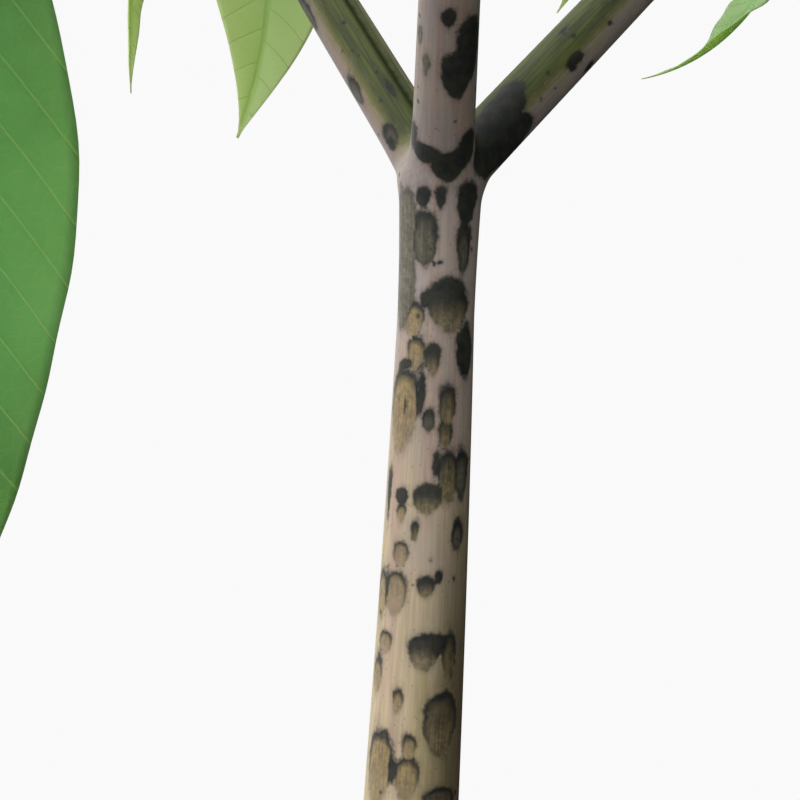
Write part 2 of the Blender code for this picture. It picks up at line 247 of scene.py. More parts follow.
def make_piece(
    name: str, points: Array, faces: Any, finish: "Finish", node: str, fields: Fields | None = None
) -> bpy.types.Object:
    """Makes a smooth mesh piece that stands for a CAD node.

    Args:
        name: the piece's name.
        points: its vertices in millimetres.
        faces: rows of vertex numbers.
        finish: what it is made of.
        node: the CAD node that it replaces.
        fields: values kept on the vertices for the finish, one or three per vertex.

    Returns:
        The new object, riding on the root body.
    """
    mesh = bpy.data.meshes.new(name)
    mesh.from_pydata((points * MM).tolist(), [], faces.tolist() if isinstance(faces, Array) else faces)
    for label, values in (fields or {}).items():
        kind, key = ("FLOAT", "value") if values.ndim == 1 else ("FLOAT_VECTOR", "vector")
        layer = mesh.attributes.new(label, kind, "POINT")
        layer.data.foreach_set(key, values.astype(np.float32).ravel())
    mesh.polygons.foreach_set("use_smooth", [True] * len(mesh.polygons))
    piece = put(name, mesh)
    piece.data.materials.append(finish.material())
    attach(piece, "root")
    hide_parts(node)
    LOG.info("%s: %d vertices, %d faces", name, len(mesh.vertices), len(mesh.polygons))
    return piece


# Finishes


@dataclass(frozen=True)
class Finish:
    """What a surface is made of. Each kind adds its own colour and relief in paint().

    Sizes of patterns are in millimetres. Sockets are filled in their order: a MapRange takes the value, the range that
    it comes from and the range that it goes to, and a noise takes the place, scale, detail and roughness.
    """

    name: str
    slot: Slot
    roughness: float
    ior: float = 1.45

    def material(self) -> bpy.types.Material:
        """The finish as a material, made once.

        Returns:
            The material.
        """
        made = bpy.data.materials.get(self.name)
        if made is None:
            made = bpy.data.materials.new(self.name)
            made.use_nodes = True
            add = partial(add_node, made.node_tree)
            here = add("VectorMath SCALE", add("TexCoord").outputs["Object"], 1 / MM)
            shader = made.node_tree.nodes["Principled BSDF"]
            for name, value in [("Roughness", self.roughness), ("IOR", self.ior), *self.paint(add, here).items()]:
                fill(shader.inputs[name], value)
        return made

    def paint(self, add: Adder, here: Node) -> dict[str, Any]:
        """Adds the colour and relief; a kind of finish says how.

        Args:
            add: adds a node to the material.
            here: the object's own coordinates in millimetres.

        Returns:
            What goes into the shader's sockets.
        """
        raise NotImplementedError


@dataclass(frozen=True)
class Terracotta(Finish):
    """Thrown and fired red earthenware: matt, with turning lines, fine grit, and chalky bloom where damp dries out."""

    name: str = "fired red earthenware"
    slot: Slot = Slot.TERRACOTTA
    roughness: float = 0.86
    ior: float = 1.5
    clay: str = "B56A48"
    dark_clay: str = "94523A"
    bloom: str = "D9C3AE"
    turning_lines: float = 2.4
    grit: float = 0.7
    cloud: float = 22
    bloom_patch: float = 30
    damp_top: float = 150
    relief: float = 0.22

    def paint(self, add: Adder, here: Node) -> dict[str, Any]:
        """Mixes the clay's two reds and the bloom, and cuts the turning lines.

        Args:
            add: adds a node to the material.
            here: the object's own coordinates in millimetres.

        Returns:
            What goes into the shader's sockets.
        """
        fine = add("TexNoise", here, 1 / self.grit, 2)
        broad = add("TexNoise", here, 1 / self.cloud, 4, 0.6)
        clay = add("Mix RGBA", add("MapRange", broad, 0.3, 0.7), self.dark_clay, self.clay)
        # Salts come out of the damp clay in chalky patches, most of them on the lower wall
        patch = add("TexNoise", here, 1 / self.bloom_patch, 6, 0.7)
        low = add("MapRange", add("SeparateXYZ", here).outputs["Z"], 0, self.damp_top, 0.14, -0.04)
        chalk = add("MapRange SMOOTHSTEP", add("Math ADD", patch, low), 0.52, 0.8, 0, 0.75)
        bloomed = add("Mix RGBA", chalk, clay, self.bloom)
        speck = add("MapRange", fine, 0.35, 0.65, 0.88, 1.06)
        rings = add("TexWave", here, WAVE / self.turning_lines, 1.5, 2, 0.3, bands_direction="Z")
        height = add("Math MULTIPLY_ADD", fine, 0.6, rings)
        return {
            "Base Color": add("Mix RGBA", 1, bloomed, speck, blend_type="MULTIPLY"),
            "Normal": add("Bump", Strength=0.55, Distance=self.relief * MM, Height=height),
        }


@dataclass(frozen=True)
class Compost(Finish):
    """Damp peat and bark compost: near black and matt, with brown fibres, chips and a few white grains."""

    name: str = "peat and bark compost"
    slot: Slot = Slot.COMPOST
    roughness: float = 0.94
    ior: float = 1.4
    peat: str = "2E221A"
    dry_peat: str = "54412F"
    bark: str = "7A5335"
    grain: str = "D8D3C6"
    crumb: float = 2.2
    dust: float = 0.6
    relief: float = 0.8

    def paint(self, add: Adder, here: Node) -> dict[str, Any]:
        """Colours peat, bark chips and white grains by the value kept on each lump.

        Args:
            add: adds a node to the material.
            here: the object's own coordinates in millimetres.

        Returns:
            What goes into the shader's sockets.
        """
        kind = add("Attribute", attribute_name="lump").outputs["Fac"]
        crumbs = add("TexNoise", here, 1 / self.crumb, 5, 0.7)
        dust = add("TexNoise", here, 1 / self.dust, 3)
        peat = add("Mix RGBA", add("MapRange", crumbs, 0.42, 0.68), self.peat, self.dry_peat)
        barked = add("Mix RGBA", add("MapRange", kind, 0.4, 0.5), peat, self.bark)
        grained = add("Mix RGBA", add("MapRange", kind, 0.9, 1), barked, self.grain)
        shade = add("MapRange", dust, 0.3, 0.7, 0.65, 1.15)
        height = add("Math MULTIPLY_ADD", dust, 0.4, crumbs)
        return {
            "Base Color": add("Mix RGBA", 1, grained, shade, blend_type="MULTIPLY"),
            "Normal": add("Bump", Strength=0.9, Distance=self.relief * MM, Height=height),
        }


@dataclass(frozen=True)
class TuberSkin(Finish):
    """The corky skin of a tuber: brown, dull and rough, with rings of old root scars."""

    name: str = "corky tuber skin"
    slot: Slot = Slot.TUBER_SKIN
    roughness: float = 0.84
    cork: str = "7B5B41"
    furrow: str = "4A3325"
    scar_spacing: float = 5
    ring_spacing: float = 4
    relief: float = 0.5

    def paint(self, add: Adder, here: Node) -> dict[str, Any]:
        """Rings the cork with furrows and dots it with scars.

        Args:
            add: adds a node to the material.
            here: the object's own coordinates in millimetres.

        Returns:
            What goes into the shader's sockets.
        """
        rings = add("TexWave", here, WAVE / self.ring_spacing, 4, 3, bands_direction="Z")
        scars = add("TexVoronoi", here, 1 / self.scar_spacing)
        worn = add("Math MULTIPLY", rings, add("MapRange", scars, 0.1, 0.3))
        return {
            "Base Color": add("Mix RGBA", worn, self.furrow, self.cork),
            "Normal": add("Bump", Strength=0.8, Distance=self.relief * MM, Height=worn),
        }


@dataclass(frozen=True)
class DrySheath(Finish):
    """A dried scale leaf: thin as paper and parchment brown, ribbed lengthwise, spotted, and dark where it tore."""

    name: str = "dried scale leaf"
    slot: Slot = Slot.DRY_SHEATH
    roughness: float = 0.62
    paper: str = "A98A66"
    brown: str = "6B4C34"
    spot: str = "3E2D22"
    rib_spacing: float = 1.3
    blotch: float = 6
    relief: float = 0.35

    def paint(self, add: Adder, here: Node) -> dict[str, Any]:
        """Draws the lengthwise ribs, the brown spots and the dark edge.

        Args:
            add: adds a node to the material.
            here: the object's own coordinates in millimetres.

        Returns:
            What goes into the shader's sockets.
        """
        grain = add("Attribute", attribute_name="grain").outputs["Vector"]
        edge = add("Attribute", attribute_name="edge").outputs["Fac"]
        ribs = add("TexNoise", grain, 1 / self.rib_spacing, 3)
        blotch = add("TexNoise", here, 1 / self.blotch, 5, 0.65)
        paper = add("Mix RGBA", add("MapRange", ribs, 0.35, 0.62), self.brown, self.paper)
        spotted = add("Mix RGBA", add("MapRange", blotch, 0.56, 0.66, 0, 0.75), paper, self.spot)
        height = add("Math MULTIPLY_ADD", blotch, 0.4, ribs)
        return {
            "Base Color": add("Mix RGBA", add("MapRange", edge, 0.86, 1, 0, 0.7), spotted, self.spot),
            "Normal": add("Bump", Strength=0.7, Distance=self.relief * MM, Height=height),
        }


@dataclass(frozen=True)
class StalkSkin(Finish):
    """Living stalk skin, grown in long cells: satin, faintly striped lengthwise, with dark-rimmed blotches in it."""

    name: str = "mottled stalk skin"
    slot: Slot = Slot.MOTTLED_STALK
    roughness: float = 0.5
    ior: float = 1.42
    gloss: float = 0.27
    pink_grey: str = "B2A4A0"
    cream: str = "CDB99A"
    pink: str = "BFA295"
    lime_cream: str = "BFAE86"
    green: str = "3E4B22"
    deep_green: str = "2A3A1B"
    lime: str = "5F6B2C"
    lime_pale: str = "9C9764"
    ink: str = "2A2D2F"
    ink_olive: str = "3B3B34"
    olive: str = "78766C"
    tan: str = "AF9664"
    # The olive that painted shade darkens the skin towards
    shade: str = "5A5F3C"
    cloud: float = 9
    blob: float = 5
    patch: float = 2.2
    pore: float = 0.8
    cell_line: float = 0.5
    band: float = 3.6
    dot_spacing: float = 3.4
    freckle_spacing: float = 1.5
    relief: float = 0.14

    def paint(self, add: Adder, here: Node) -> dict[str, Any]:
        """Lays ground colour, green side, blotches and dots over each other, darkens them with painted shade, and adds
        the fine stripes' relief.

        Args:
            add: adds a node to the material.
            here: the object's own coordinates in millimetres.

        Returns:
            What goes into the shader's sockets.
        """
        grain, mark, tone = (add("Attribute", attribute_name=n).outputs["Vector"] for n in ("grain", "mark", "tone"))
        warm, green, low = add("SeparateXYZ", tone).outputs
        clouds = {
            "broad": add("TexNoise", here, 1 / self.cloud, 3),
            "blobs": add("TexNoise", here, 1 / self.blob, 1),
            "middle": add("TexNoise", here, 1 / self.patch, 2, 0.6),
            "small": add("TexNoise", here, 1 / self.pore, 2),
            "stripe": add("TexNoise", grain, 1 / self.cell_line, 2),
            "band": add("TexNoise", grain, 1 / self.band, 3),
        }
        sided = self.green_side(add, self.ground(add, low, clouds), green, clouds)
        marked, depth = self.blotches(add, sided, add("SeparateXYZ", mark).outputs, warm, clouds)
        dots = add("TexVoronoi", here, 1 / self.dot_spacing)
        radius = add("MapRange", add("SeparateXYZ", dots.outputs["Color"]), 0.3, 1, 0, 0.16)
        dotted = add("MapRange", add("Math SUBTRACT", radius, dots), -0.04, 0.04, 0, 0.75)
        # Between the larger dots lie fine freckles
        freckle = add("MapRange", add("TexVoronoi", here, 1 / self.freckle_spacing), 0.17, 0.08, 0, 0.3)
        colour = add("Mix RGBA", add("Math MAXIMUM", dotted, freckle), marked, self.ink_olive)
        # Painted shade: the arms, under the leaves above them, and the stalk's side away from the window are darkened
        # towards olive
        dusk = add("Attribute", attribute_name="dusk").outputs["Fac"]
        raised = add("MapRange", depth, 0, 0.8, 0, 0.25)
        height = add("Math MULTIPLY_ADD", clouds["stripe"], 0.7, raised)
        height = add("Math MULTIPLY_ADD", clouds["small"], 0.35, height)
        return {
            "Base Color": add("Mix RGBA", dusk, colour, self.shade, blend_type="MULTIPLY"),
            "Specular IOR Level": self.gloss,
            "Normal": add("Bump", Strength=0.45, Distance=self.relief * MM, Height=height),
        }

    def ground(self, add: Adder, low: Socket, clouds: dict[str, Node]) -> Node:
        """The skin between the blotches: pinkish grey at the top, cream and lime-cream lower down.

        Args:
            add: adds a node to the material.
            low: 0 at the hub, rising to 1 down the stalk, and raised on the left edge as painted window light.
            clouds: the skin's noises.

        Returns:
            The colour.
        """
        band = clouds["band"]
        share = add("Math ADD", low, add("Math MULTIPLY_ADD", clouds["broad"], 1.1, -0.55), use_clamp=True)
        base = add("Mix RGBA", share, self.pink_grey, self.cream)
        lime = add("Math MULTIPLY", add("MapRange", band, 0.5, 0.62), share)
        limed = add("Mix RGBA", lime, base, self.lime_cream)
        pinked = add("Mix RGBA", add("MapRange", band, 0.46, 0.36, 0, 0.6), limed, self.pink)
        cells = add("MapRange", clouds["stripe"], 0.3, 0.7, 0.86, 1.08)
        return add("Mix RGBA", 1, pinked, cells, blend_type="MULTIPLY")

    def green_side(self, add: Adder, under: Node, green: Socket, clouds: dict[str, Node]) -> Node:
        """Lays the arms' green upper side over the ground, streaked lengthwise, with deep green in the channel, partly
        painted shade, and lime on its lips, partly painted highlight.

        Args:
            add: adds a node to the material.
            under: the colour below.
            green: how green the place is: about 1 on the upper side and 2 in the channel.
            clouds: the skin's noises.

        Returns:
            The colour.
        """
        stripe = clouds["stripe"]
        streaked = add("Mix RGBA", add("MapRange", stripe, 0.38, 0.64), self.green, self.lime)
        # A lime band on the channel's lips: partly their colour, partly a painted highlight of backlight through them
        ridged = add("Mix RGBA", add("MapRange", green, 1.04, 1.14, 0, 0.8), streaked, self.lime)
        # Where the green gives way to the ground it is a pale lime
        paled = add("Mix RGBA", add("MapRange", green, 0.98, 0.45), ridged, self.lime_pale)
        # The channel is deep green: partly its own colour, partly painted shade in the groove
        deep = add("Mix RGBA", add("MapRange", green, 1.12, 1.6), paled, self.deep_green)
        ragged = add("Math MULTIPLY_ADD", stripe, 1.4, green)
        ragged = add("Math MULTIPLY_ADD", clouds["middle"], 0.5, ragged)
        return add("Mix RGBA", add("MapRange SMOOTHSTEP", ragged, 1.15, 1.75, 0, 0.95), under, deep)

    def blotches(
        self, add: Adder, under: Node, mark: Sequence[Socket], warm: Socket, clouds: dict[str, Node]
    ) -> tuple[Node, Node]:
        """Lays the blotches over the skin: a dark rim, and a core that is dark, olive or tan.

        Args:
            add: adds a node to the material.
            under: the colour below.
            mark: the depth inside a blotch's edge, the width of its rim, and how light its core is.
            warm: 0 for an olive core, 1 for a tan one.
            clouds: the skin's noises.

        Returns:
            The colour, and the depth inside a blotch with its ragged edge.
        """
        ragged, rim, lightness = mark
        middle = clouds["middle"]
        for cloud, amount in (("blobs", 1.3), ("middle", 1.6), ("small", 0.7)):
            ragged = add("Math MULTIPLY_ADD", clouds[cloud], amount, ragged)
        depth = add("Math SUBTRACT", ragged, 1.8)
        inside = add("MapRange SMOOTHSTEP", depth, -0.45, 0.55)
        fade = add("Math MULTIPLY_ADD", rim, 0.6, 0.6)
        core = add("MapRange SMOOTHSTEP", add("Math SUBTRACT", depth, rim), -0.7, fade)
        light = add("Math MULTIPLY", core, lightness, use_clamp=True)
        # Inside the rim fainter lines repeat it, one within the other
        line = add("Math PINGPONG", add("Math MULTIPLY_ADD", depth, 0.62, middle), 0.5)
        for share in (
            add("MapRange", clouds["small"], 0.68, 0.42, 0.6),
            add("MapRange", add("Math ADD", middle, clouds["stripe"]), 1.2, 0.85, 0.5),
            add("MapRange", line, 0.12, 0, 1, 0.8),
        ):
            light = add("Math MULTIPLY", light, share)
        flesh = add("Mix RGBA", warm, self.olive, self.tan)
        ink = add("Mix RGBA", add("MapRange", middle, 0.38, 0.62), self.ink, self.ink_olive)
        shaded = add("Mix RGBA", add("MapRange", depth, -1.4, 0, 0, 0.22), under, self.ink_olive)
        # A core lighter than 1 lets the skin show through
        clear = add("Math MULTIPLY_ADD", add("MapRange", lightness, 1, 2, 0, -1), core, 1)
        inside = add("Math MULTIPLY", inside, clear)
        return add("Mix RGBA", inside, shaded, add("Mix RGBA", light, ink, flesh)), depth


@dataclass(frozen=True)
class LeafBlade(Finish):
    """A living leaf: satin and mid green above, paler and duller beneath, with side veins that run to the edge."""

    name: str = "living leaf blade"
    slot: Slot = Slot.LEAF_GREEN
    roughness: float = 0.46
    under_roughness: float = 0.58
    ior: float = 1.42
    gloss: float = 0.32
    green: str = "47843C"
    # The pale green of younger leaflets and of their painted backlight glow
    pale_glow_green: str = "C0E296"
    deep_green: str = "386E31"
    underside: str = "779C60"
    vein: str = "8DB060"
    rib_green: str = "6E8A45"
    rib_under: str = "9C8E84"
    ink: str = "2B322B"
    cloud: float = 16
    spot: float = 3.2
    vein_spacing: float = 7.5
    net_cell: float = 1.9
    relief: float = 0.25
    glow: float = 0.5
    glow_depth: float = 3
    glow_colour: Triple = (0.75, 1.0, 0.35)

    def paint(self, add: Adder, here: Node) -> dict[str, Any]:
        """Draws the blade's greens and its veins from the place in the blade kept on each point.

        Args:
            add: adds a node to the material.
            here: the object's own coordinates in millimetres.

        Returns:
            What goes into the shader's sockets.
        """
        blade, side = (add("Attribute", attribute_name=n).outputs["Vector"] for n in ("blade", "side"))
        along, across, edge = add("SeparateXYZ", blade).outputs
        under, ribbed, youth_and_glow = add("SeparateXYZ", side).outputs
        out = add("Math ABSOLUTE", across)
        # A side vein leaves the midrib at about 60 degrees and bends towards the tip, to about 40 near the edge
        lean = add("Math MULTIPLY", add("Math POWER", out, 1.25), -0.5)
        offset = add("Math MULTIPLY_ADD", add("Math SIGN", across), self.vein_spacing * 0.2, lean)
        turn = add("Math DIVIDE", add("Math ADD", along, offset), self.vein_spacing)
        side_vein = add("MapRange SMOOTHSTEP", add("Math PINGPONG", turn, 0.5), 0.05, 0)
        net = add("TexVoronoi", blade, 1 / self.net_cell, feature="DISTANCE_TO_EDGE")
        veins = add("Math MAXIMUM", side_vein, add("MapRange SMOOTHSTEP", out, 0.9, 0.25))
        veins = add("Math MAXIMUM", veins, add("MapRange", net, 0.1, 0, 0, 0.12))
        broad = add("TexNoise", here, 1 / self.cloud, 3)
        green = add("Mix RGBA", add("MapRange", broad, 0.32, 0.68), self.deep_green, self.green)
        turned = add("Mix RGBA", under, green, self.underside)
        # Younger leaflets are paler, and some are painted pale as the glow of backlight through them; the margin is
        # slightly paler too
        rim = add("Math ADD", add("MapRange", edge, 0.9, 1, 0, 0.05), youth_and_glow, use_clamp=True)
        edged = add("Mix RGBA", rim, turned, self.pale_glow_green)
        veined = add("Mix RGBA", add("Math MULTIPLY", veins, 0.34), edged, self.vein)
        # The rib carries the stalk's mottling on its underside, and thins out to green
        spots = add("MapRange", add("TexNoise", here, 1 / self.spot, 3), 0.56, 0.6)
        rib = add("Mix RGBA", under, self.rib_green, self.rib_under)
        # On the rib the side field's third value is its mottling
        mottled = add("Mix RGBA", add("Math MULTIPLY", spots, youth_and_glow), rib, self.ink)
        return {
            "Base Color": add("Mix RGBA", ribbed, veined, mottled),
            "Roughness": add("MapRange", under, 0, 1, self.roughness, self.under_roughness),
            "Normal": add(
                "Bump", Strength=0.5, Distance=self.relief * MM, Height=add("Math SUBTRACT", 1, veins)
            ),
            "Subsurface Weight": self.glow,
            "Subsurface Radius": self.glow_colour,
            "Subsurface Scale": self.glow_depth * MM,
            "Specular IOR Level": self.gloss,
        }


# The pot and what it holds


@dataclass
class Pot:
    """A plain terracotta pot with a stepped rim and three drain holes."""

    height: float = 158
    rim_radius: float = 93
    rim_height: float = 27
    rim_step: float = 4.5
    rim_taper: float = 0.6
    foot_radius: float = 62
    wall: float = 6
    floor: float = 8
    fillets: tuple[float, ...] = (3, 2.2, 2.6, 1.4, 1.2, 1.5)
    fillet_steps: int = 6
    floor_steps: int = 8
    wall_step: float = 5
    sides: int = 192
    drain_radius: float = 6
    drain_circle: float = 32
    drain_holes: int = 3
    wobble: float = 0.18
    sharp_from: float = 42
    finish: Finish = Terracotta()

    def inner_radius(self, height: float) -> float:
        """The radius of the inside at a height."""
        low, high = self.foot_radius - self.wall, self.rim_radius - self.rim_step - self.wall
        return between(low, high, (height - self.floor) / (self.height - self.floor))

    def outline(self) -> list[tuple[float, float]]:
        """The section from the middle of the floor's top, over the rim, to the middle of the foot.

        Returns:
            Radius and height of each point.
        """
        collar = self.height - self.rim_height
        corners = [
            (0, self.floor),
            (self.inner_radius(self.floor), self.floor),
            (self.inner_radius(self.height), self.height),
            (self.rim_radius, self.height),
            (self.rim_radius - self.rim_taper, collar),
            (between(self.foot_radius, self.rim_radius - self.rim_step, collar / self.height), collar),
            (self.foot_radius, 0),
            (0, 0),
        ]
        path = [Vector((r, 0, z)) for r, z in corners]
        made = [path[0]]
        for fillet, before, here, after in zip(self.fillets, path, path[1:], path[2:]):
            start = here + (before - here).normalized() * fillet
            end = here + (after - here).normalized() * fillet
            steps = max(1, round((start - made[-1]).length / self.wall_step))
            made += [made[-1].lerp(start, i / steps) for i in range(1, steps)]
            for i in range(self.fillet_steps + 1):
                t = i / self.fillet_steps
                made.append(start * (1 - t) ** 2 + here * 2 * t * (1 - t) + end * t * t)
        made += [made[-1].lerp(path[-1], i / self.floor_steps) for i in range(1, self.floor_steps + 1)]
        return [(p.x, p.z) for p in made]

    def build(self) -> bpy.types.Object:
        """Turns the outline, cuts the drain holes and makes the piece.

        Returns:
            The pot.
        """
        points, faces = turned(self.outline(), self.sides)
        angle = np.arctan2(points[:, 1], points[:, 0])
        # A thrown wall is never quite round: it wanders by a fraction of a millimetre
        waver = np.sin(2 * angle + points[:, 2] / 40) + 0.5 * np.sin(5 * angle + points[:, 2] / 17)
        scale = 1 + self.wobble * waver * (points[:, 2] > 1) / self.rim_radius
        points[:, :2] *= np.minimum(scale, 1)[:, None]
        piece = make_piece("pot_turned", points, faces, self.finish, "pot")
        self.cut_drains(piece)
        piece.data.polygons.foreach_set("use_smooth", [True] * len(piece.data.polygons))
        piece.data.set_sharp_from_angle(angle=math.radians(self.sharp_from))
        return piece

    def cut_drains(self, piece: bpy.types.Object) -> None:
        """Cuts the drain holes through the floor.

        Args:
            piece: the pot.
        """
        bores, radius = bmesh.new(), self.drain_radius * MM
        size = {"segments": 32, "radius1": radius, "radius2": radius, "depth": self.floor * 2 * MM}
        for i in range(self.drain_holes):
            place = heading(90 + 360 / self.drain_holes * i, 0) * self.drain_circle * MM
            place.z = self.floor / 2 * MM
            bmesh.ops.create_cone(bores, cap_ends=True, matrix=Matrix.Translation(place), **size)
        mesh = bpy.data.meshes.new("drain bores")
        bores.to_mesh(mesh)
        bores.free()
        cutter = put("drain bores", mesh)
        cut = piece.modifiers.new("drains", "BOOLEAN")
        cut.operation, cut.solver, cut.object = "DIFFERENCE", "EXACT", cutter
        cleared = evaluated(piece)
        piece.modifiers.clear()
        piece.data = cleared
        bpy.data.objects.remove(cutter)


def turned(outline: Sequence[tuple[float, float]], sides: int) -> Shape:
    """Turns an outline round the upright axis into a closed shape.

    Args:
        outline: radius and height of each point; the first and last are on the axis.
        sides: points round each ring.

    Returns:
        Points and faces.
    """
    angles = np.arange(sides) / sides * math.tau
    rings = [
        np.stack([r * np.cos(angles), r * np.sin(angles), np.full(sides, z)], axis=-1) for r, z in outline[1:-1]
    ]
    ends = np.array([[0, 0, outline[0][1]], [0, 0, outline[-1][1]]])
    count = len(rings) * sides
    faces = grid_faces(len(rings), sides, wrap=True)[:, ::-1].tolist()
    for i in range(sides):
        j = (i + 1) % sides
        faces += [(count, i, j), (count + 1, count - sides + j, count - sides + i)]
    return np.concatenate(rings + [ends]), faces


@dataclass(frozen=True)
class Crumb:
    """A kind of lump in the soil: the value that colours it, how many, their half length and their form."""

    kind: float
    count: int
    size: float
    form: Triple


@dataclass
class Soil:
    """Compost with a crumbled top, a plain hole for the stalk and a hollow that holds the tuber."""

    pot: Pot
    top: float = 136
    crown: float = 3
    bumps: float = 1.5
    bump_size: float = 9
    hole: float = 13.3
    mouth: float = 14.8
    mouth_depth: float = 4
    sheath_depth: float = 12
    tuber_radius: float = 34
    tuber_top: float = 106
    tuber_bottom: float = 60
    shoulder: float = 66
    sides: int = 224
    rings: int = 64
    wall_rings: int = 12
    hollow_rings: int = 16
    crumbs: tuple[Crumb, ...] = (
        Crumb(0.2, 520, 1.6, (1, 0.85, 0.7)),
        Crumb(0.7, 210, 2.9, (1, 0.55, 0.28)),
        Crumb(1.0, 70, 1.3, (1, 0.9, 0.85)),
    )
    finish: Finish = Compost()

    def surface(self, x: float, y: float) -> float:
        """The height of the soil's top at a place.

        Args:
            x: the place towards +X.
            y: the place towards +Y.

        Returns:
            The height.
        """
        rim = self.pot.inner_radius(self.top) - GAP
        share = min(max((rim - math.hypot(x, y)) / (rim - self.mouth), 0), 1)
        swell = self.crown * math.sin(share * math.pi / 2)
        here = Vector((x, y, self.top + swell))
        crumbs = noise.noise(here / 3.1) * 0.8 + noise.noise(here / 1.4) * 0.45
        return self.top + swell + (self.bumps * noise.noise(here / self.bump_size) + crumbs) * min(1, share * 12)

    def outline(self) -> list[tuple[float, float]]:
        """The section from under the tuber, up its hollow and over the top, to the pot's floor.

        Returns:
            Radius and height of each point.
        """
        middle = (self.tuber_top + self.tuber_bottom) / 2
        half = (self.tuber_top - self.tuber_bottom) / 2 + GAP
        made = [(0.0, middle - half)]
        for i in range(1, self.hollow_rings + 1):
            angle = math.radians(between(-90, self.shoulder, i / self.hollow_rings))
            made.append(((self.tuber_radius + GAP) * math.cos(angle) ** 0.8, middle + half * math.sin(angle)))
        ledge = self.top - self.sheath_depth
        made += [(self.hole, self.tuber_top + 2 * GAP), (self.hole, ledge)]
        made += [(self.mouth, ledge), (self.mouth, self.top - self.mouth_depth)]
        rim, low = self.pot.inner_radius(self.top) - GAP, self.pot.floor + GAP
        made += [(between(self.mouth, rim, i / self.rings), self.top) for i in range(self.rings + 1)]
        made += [(self.pot.inner_radius(z) - GAP, z) for z in np.linspace(self.top, low, self.wall_rings)[1:]]
        return made + [(0.0, low)]

    def build(self) -> bpy.types.Object:
        """Turns the soil, roughens its top and strews it with lumps.

        Returns:
            The soil.
        """
        points, faces = turned(self.outline(), self.sides)
        for i in np.where(np.isclose(points[:, 2], self.top))[0]:
            points[i, 2] = self.surface(*points[i, :2])
        shapes, kinds = [(points, faces)], [np.zeros(len(points))]
        draw = random.Random(SEED)
        for crumb in self.crumbs:
            for _ in range(crumb.count):
                shapes.append(self.lump(draw, crumb.size * draw.uniform(0.6, 1.35), crumb.form))
                kinds.append(np.full(len(shapes[-1][0]), crumb.kind))
        points, faces = joined(shapes)
        fours = [f for f in faces if len(f) == 4]
        faces = [f for f in faces if len(f) == 3] + [f[:3] for f in fours] + [[f[0], f[2], f[3]] for f in fours]
        return make_piece("soil_crumbled", points, faces, self.finish, "soil", {"lump": np.concatenate(kinds)})

    def lump(self, draw: random.Random, size: float, form: Triple) -> Shape:
        """One crumb, chip or grain lying on the soil.

        Args:
            draw: the random draw.
            size: its half length.
            form: its three half lengths, as shares of size.

        Returns:
            Points and triangles.
        """
        ball = bmesh.new()
        bmesh.ops.create_icosphere(ball, subdivisions=2, radius=1)
        points = np.array([v.co[:] for v in ball.verts])
        faces = [[v.index for v in f.verts] for f in ball.faces]
        ball.free()
        offset = draw.uniform(0, 90)
        bumps = [noise.noise(Vector(p) / 0.8 + Vector((offset, offset, 0))) for p in points.tolist()]
        points *= 1 + 0.28 * np.array(bumps)[:, None]
        points *= np.array(form) * size
        tilt = Matrix.Rotation(draw.uniform(-0.5, 0.5), 3, "X") @ Matrix.Rotation(draw.uniform(-0.5, 0.5), 3, "Y")
        points = points @ np.array(Matrix.Rotation(draw.uniform(0, math.tau), 3, "Z") @ tilt).T
        inner, outer = self.mouth + size + 1, self.pot.inner_radius(self.top) - size - 1.5
        radius = math.sqrt(draw.uniform(inner**2, outer**2))
        place = heading(draw.uniform(0, 360), 0) * radius
        place.z = self.surface(place.x, place.y) + size * form[2] * draw.uniform(0.1, 0.6)
        return points + np.array(place), faces


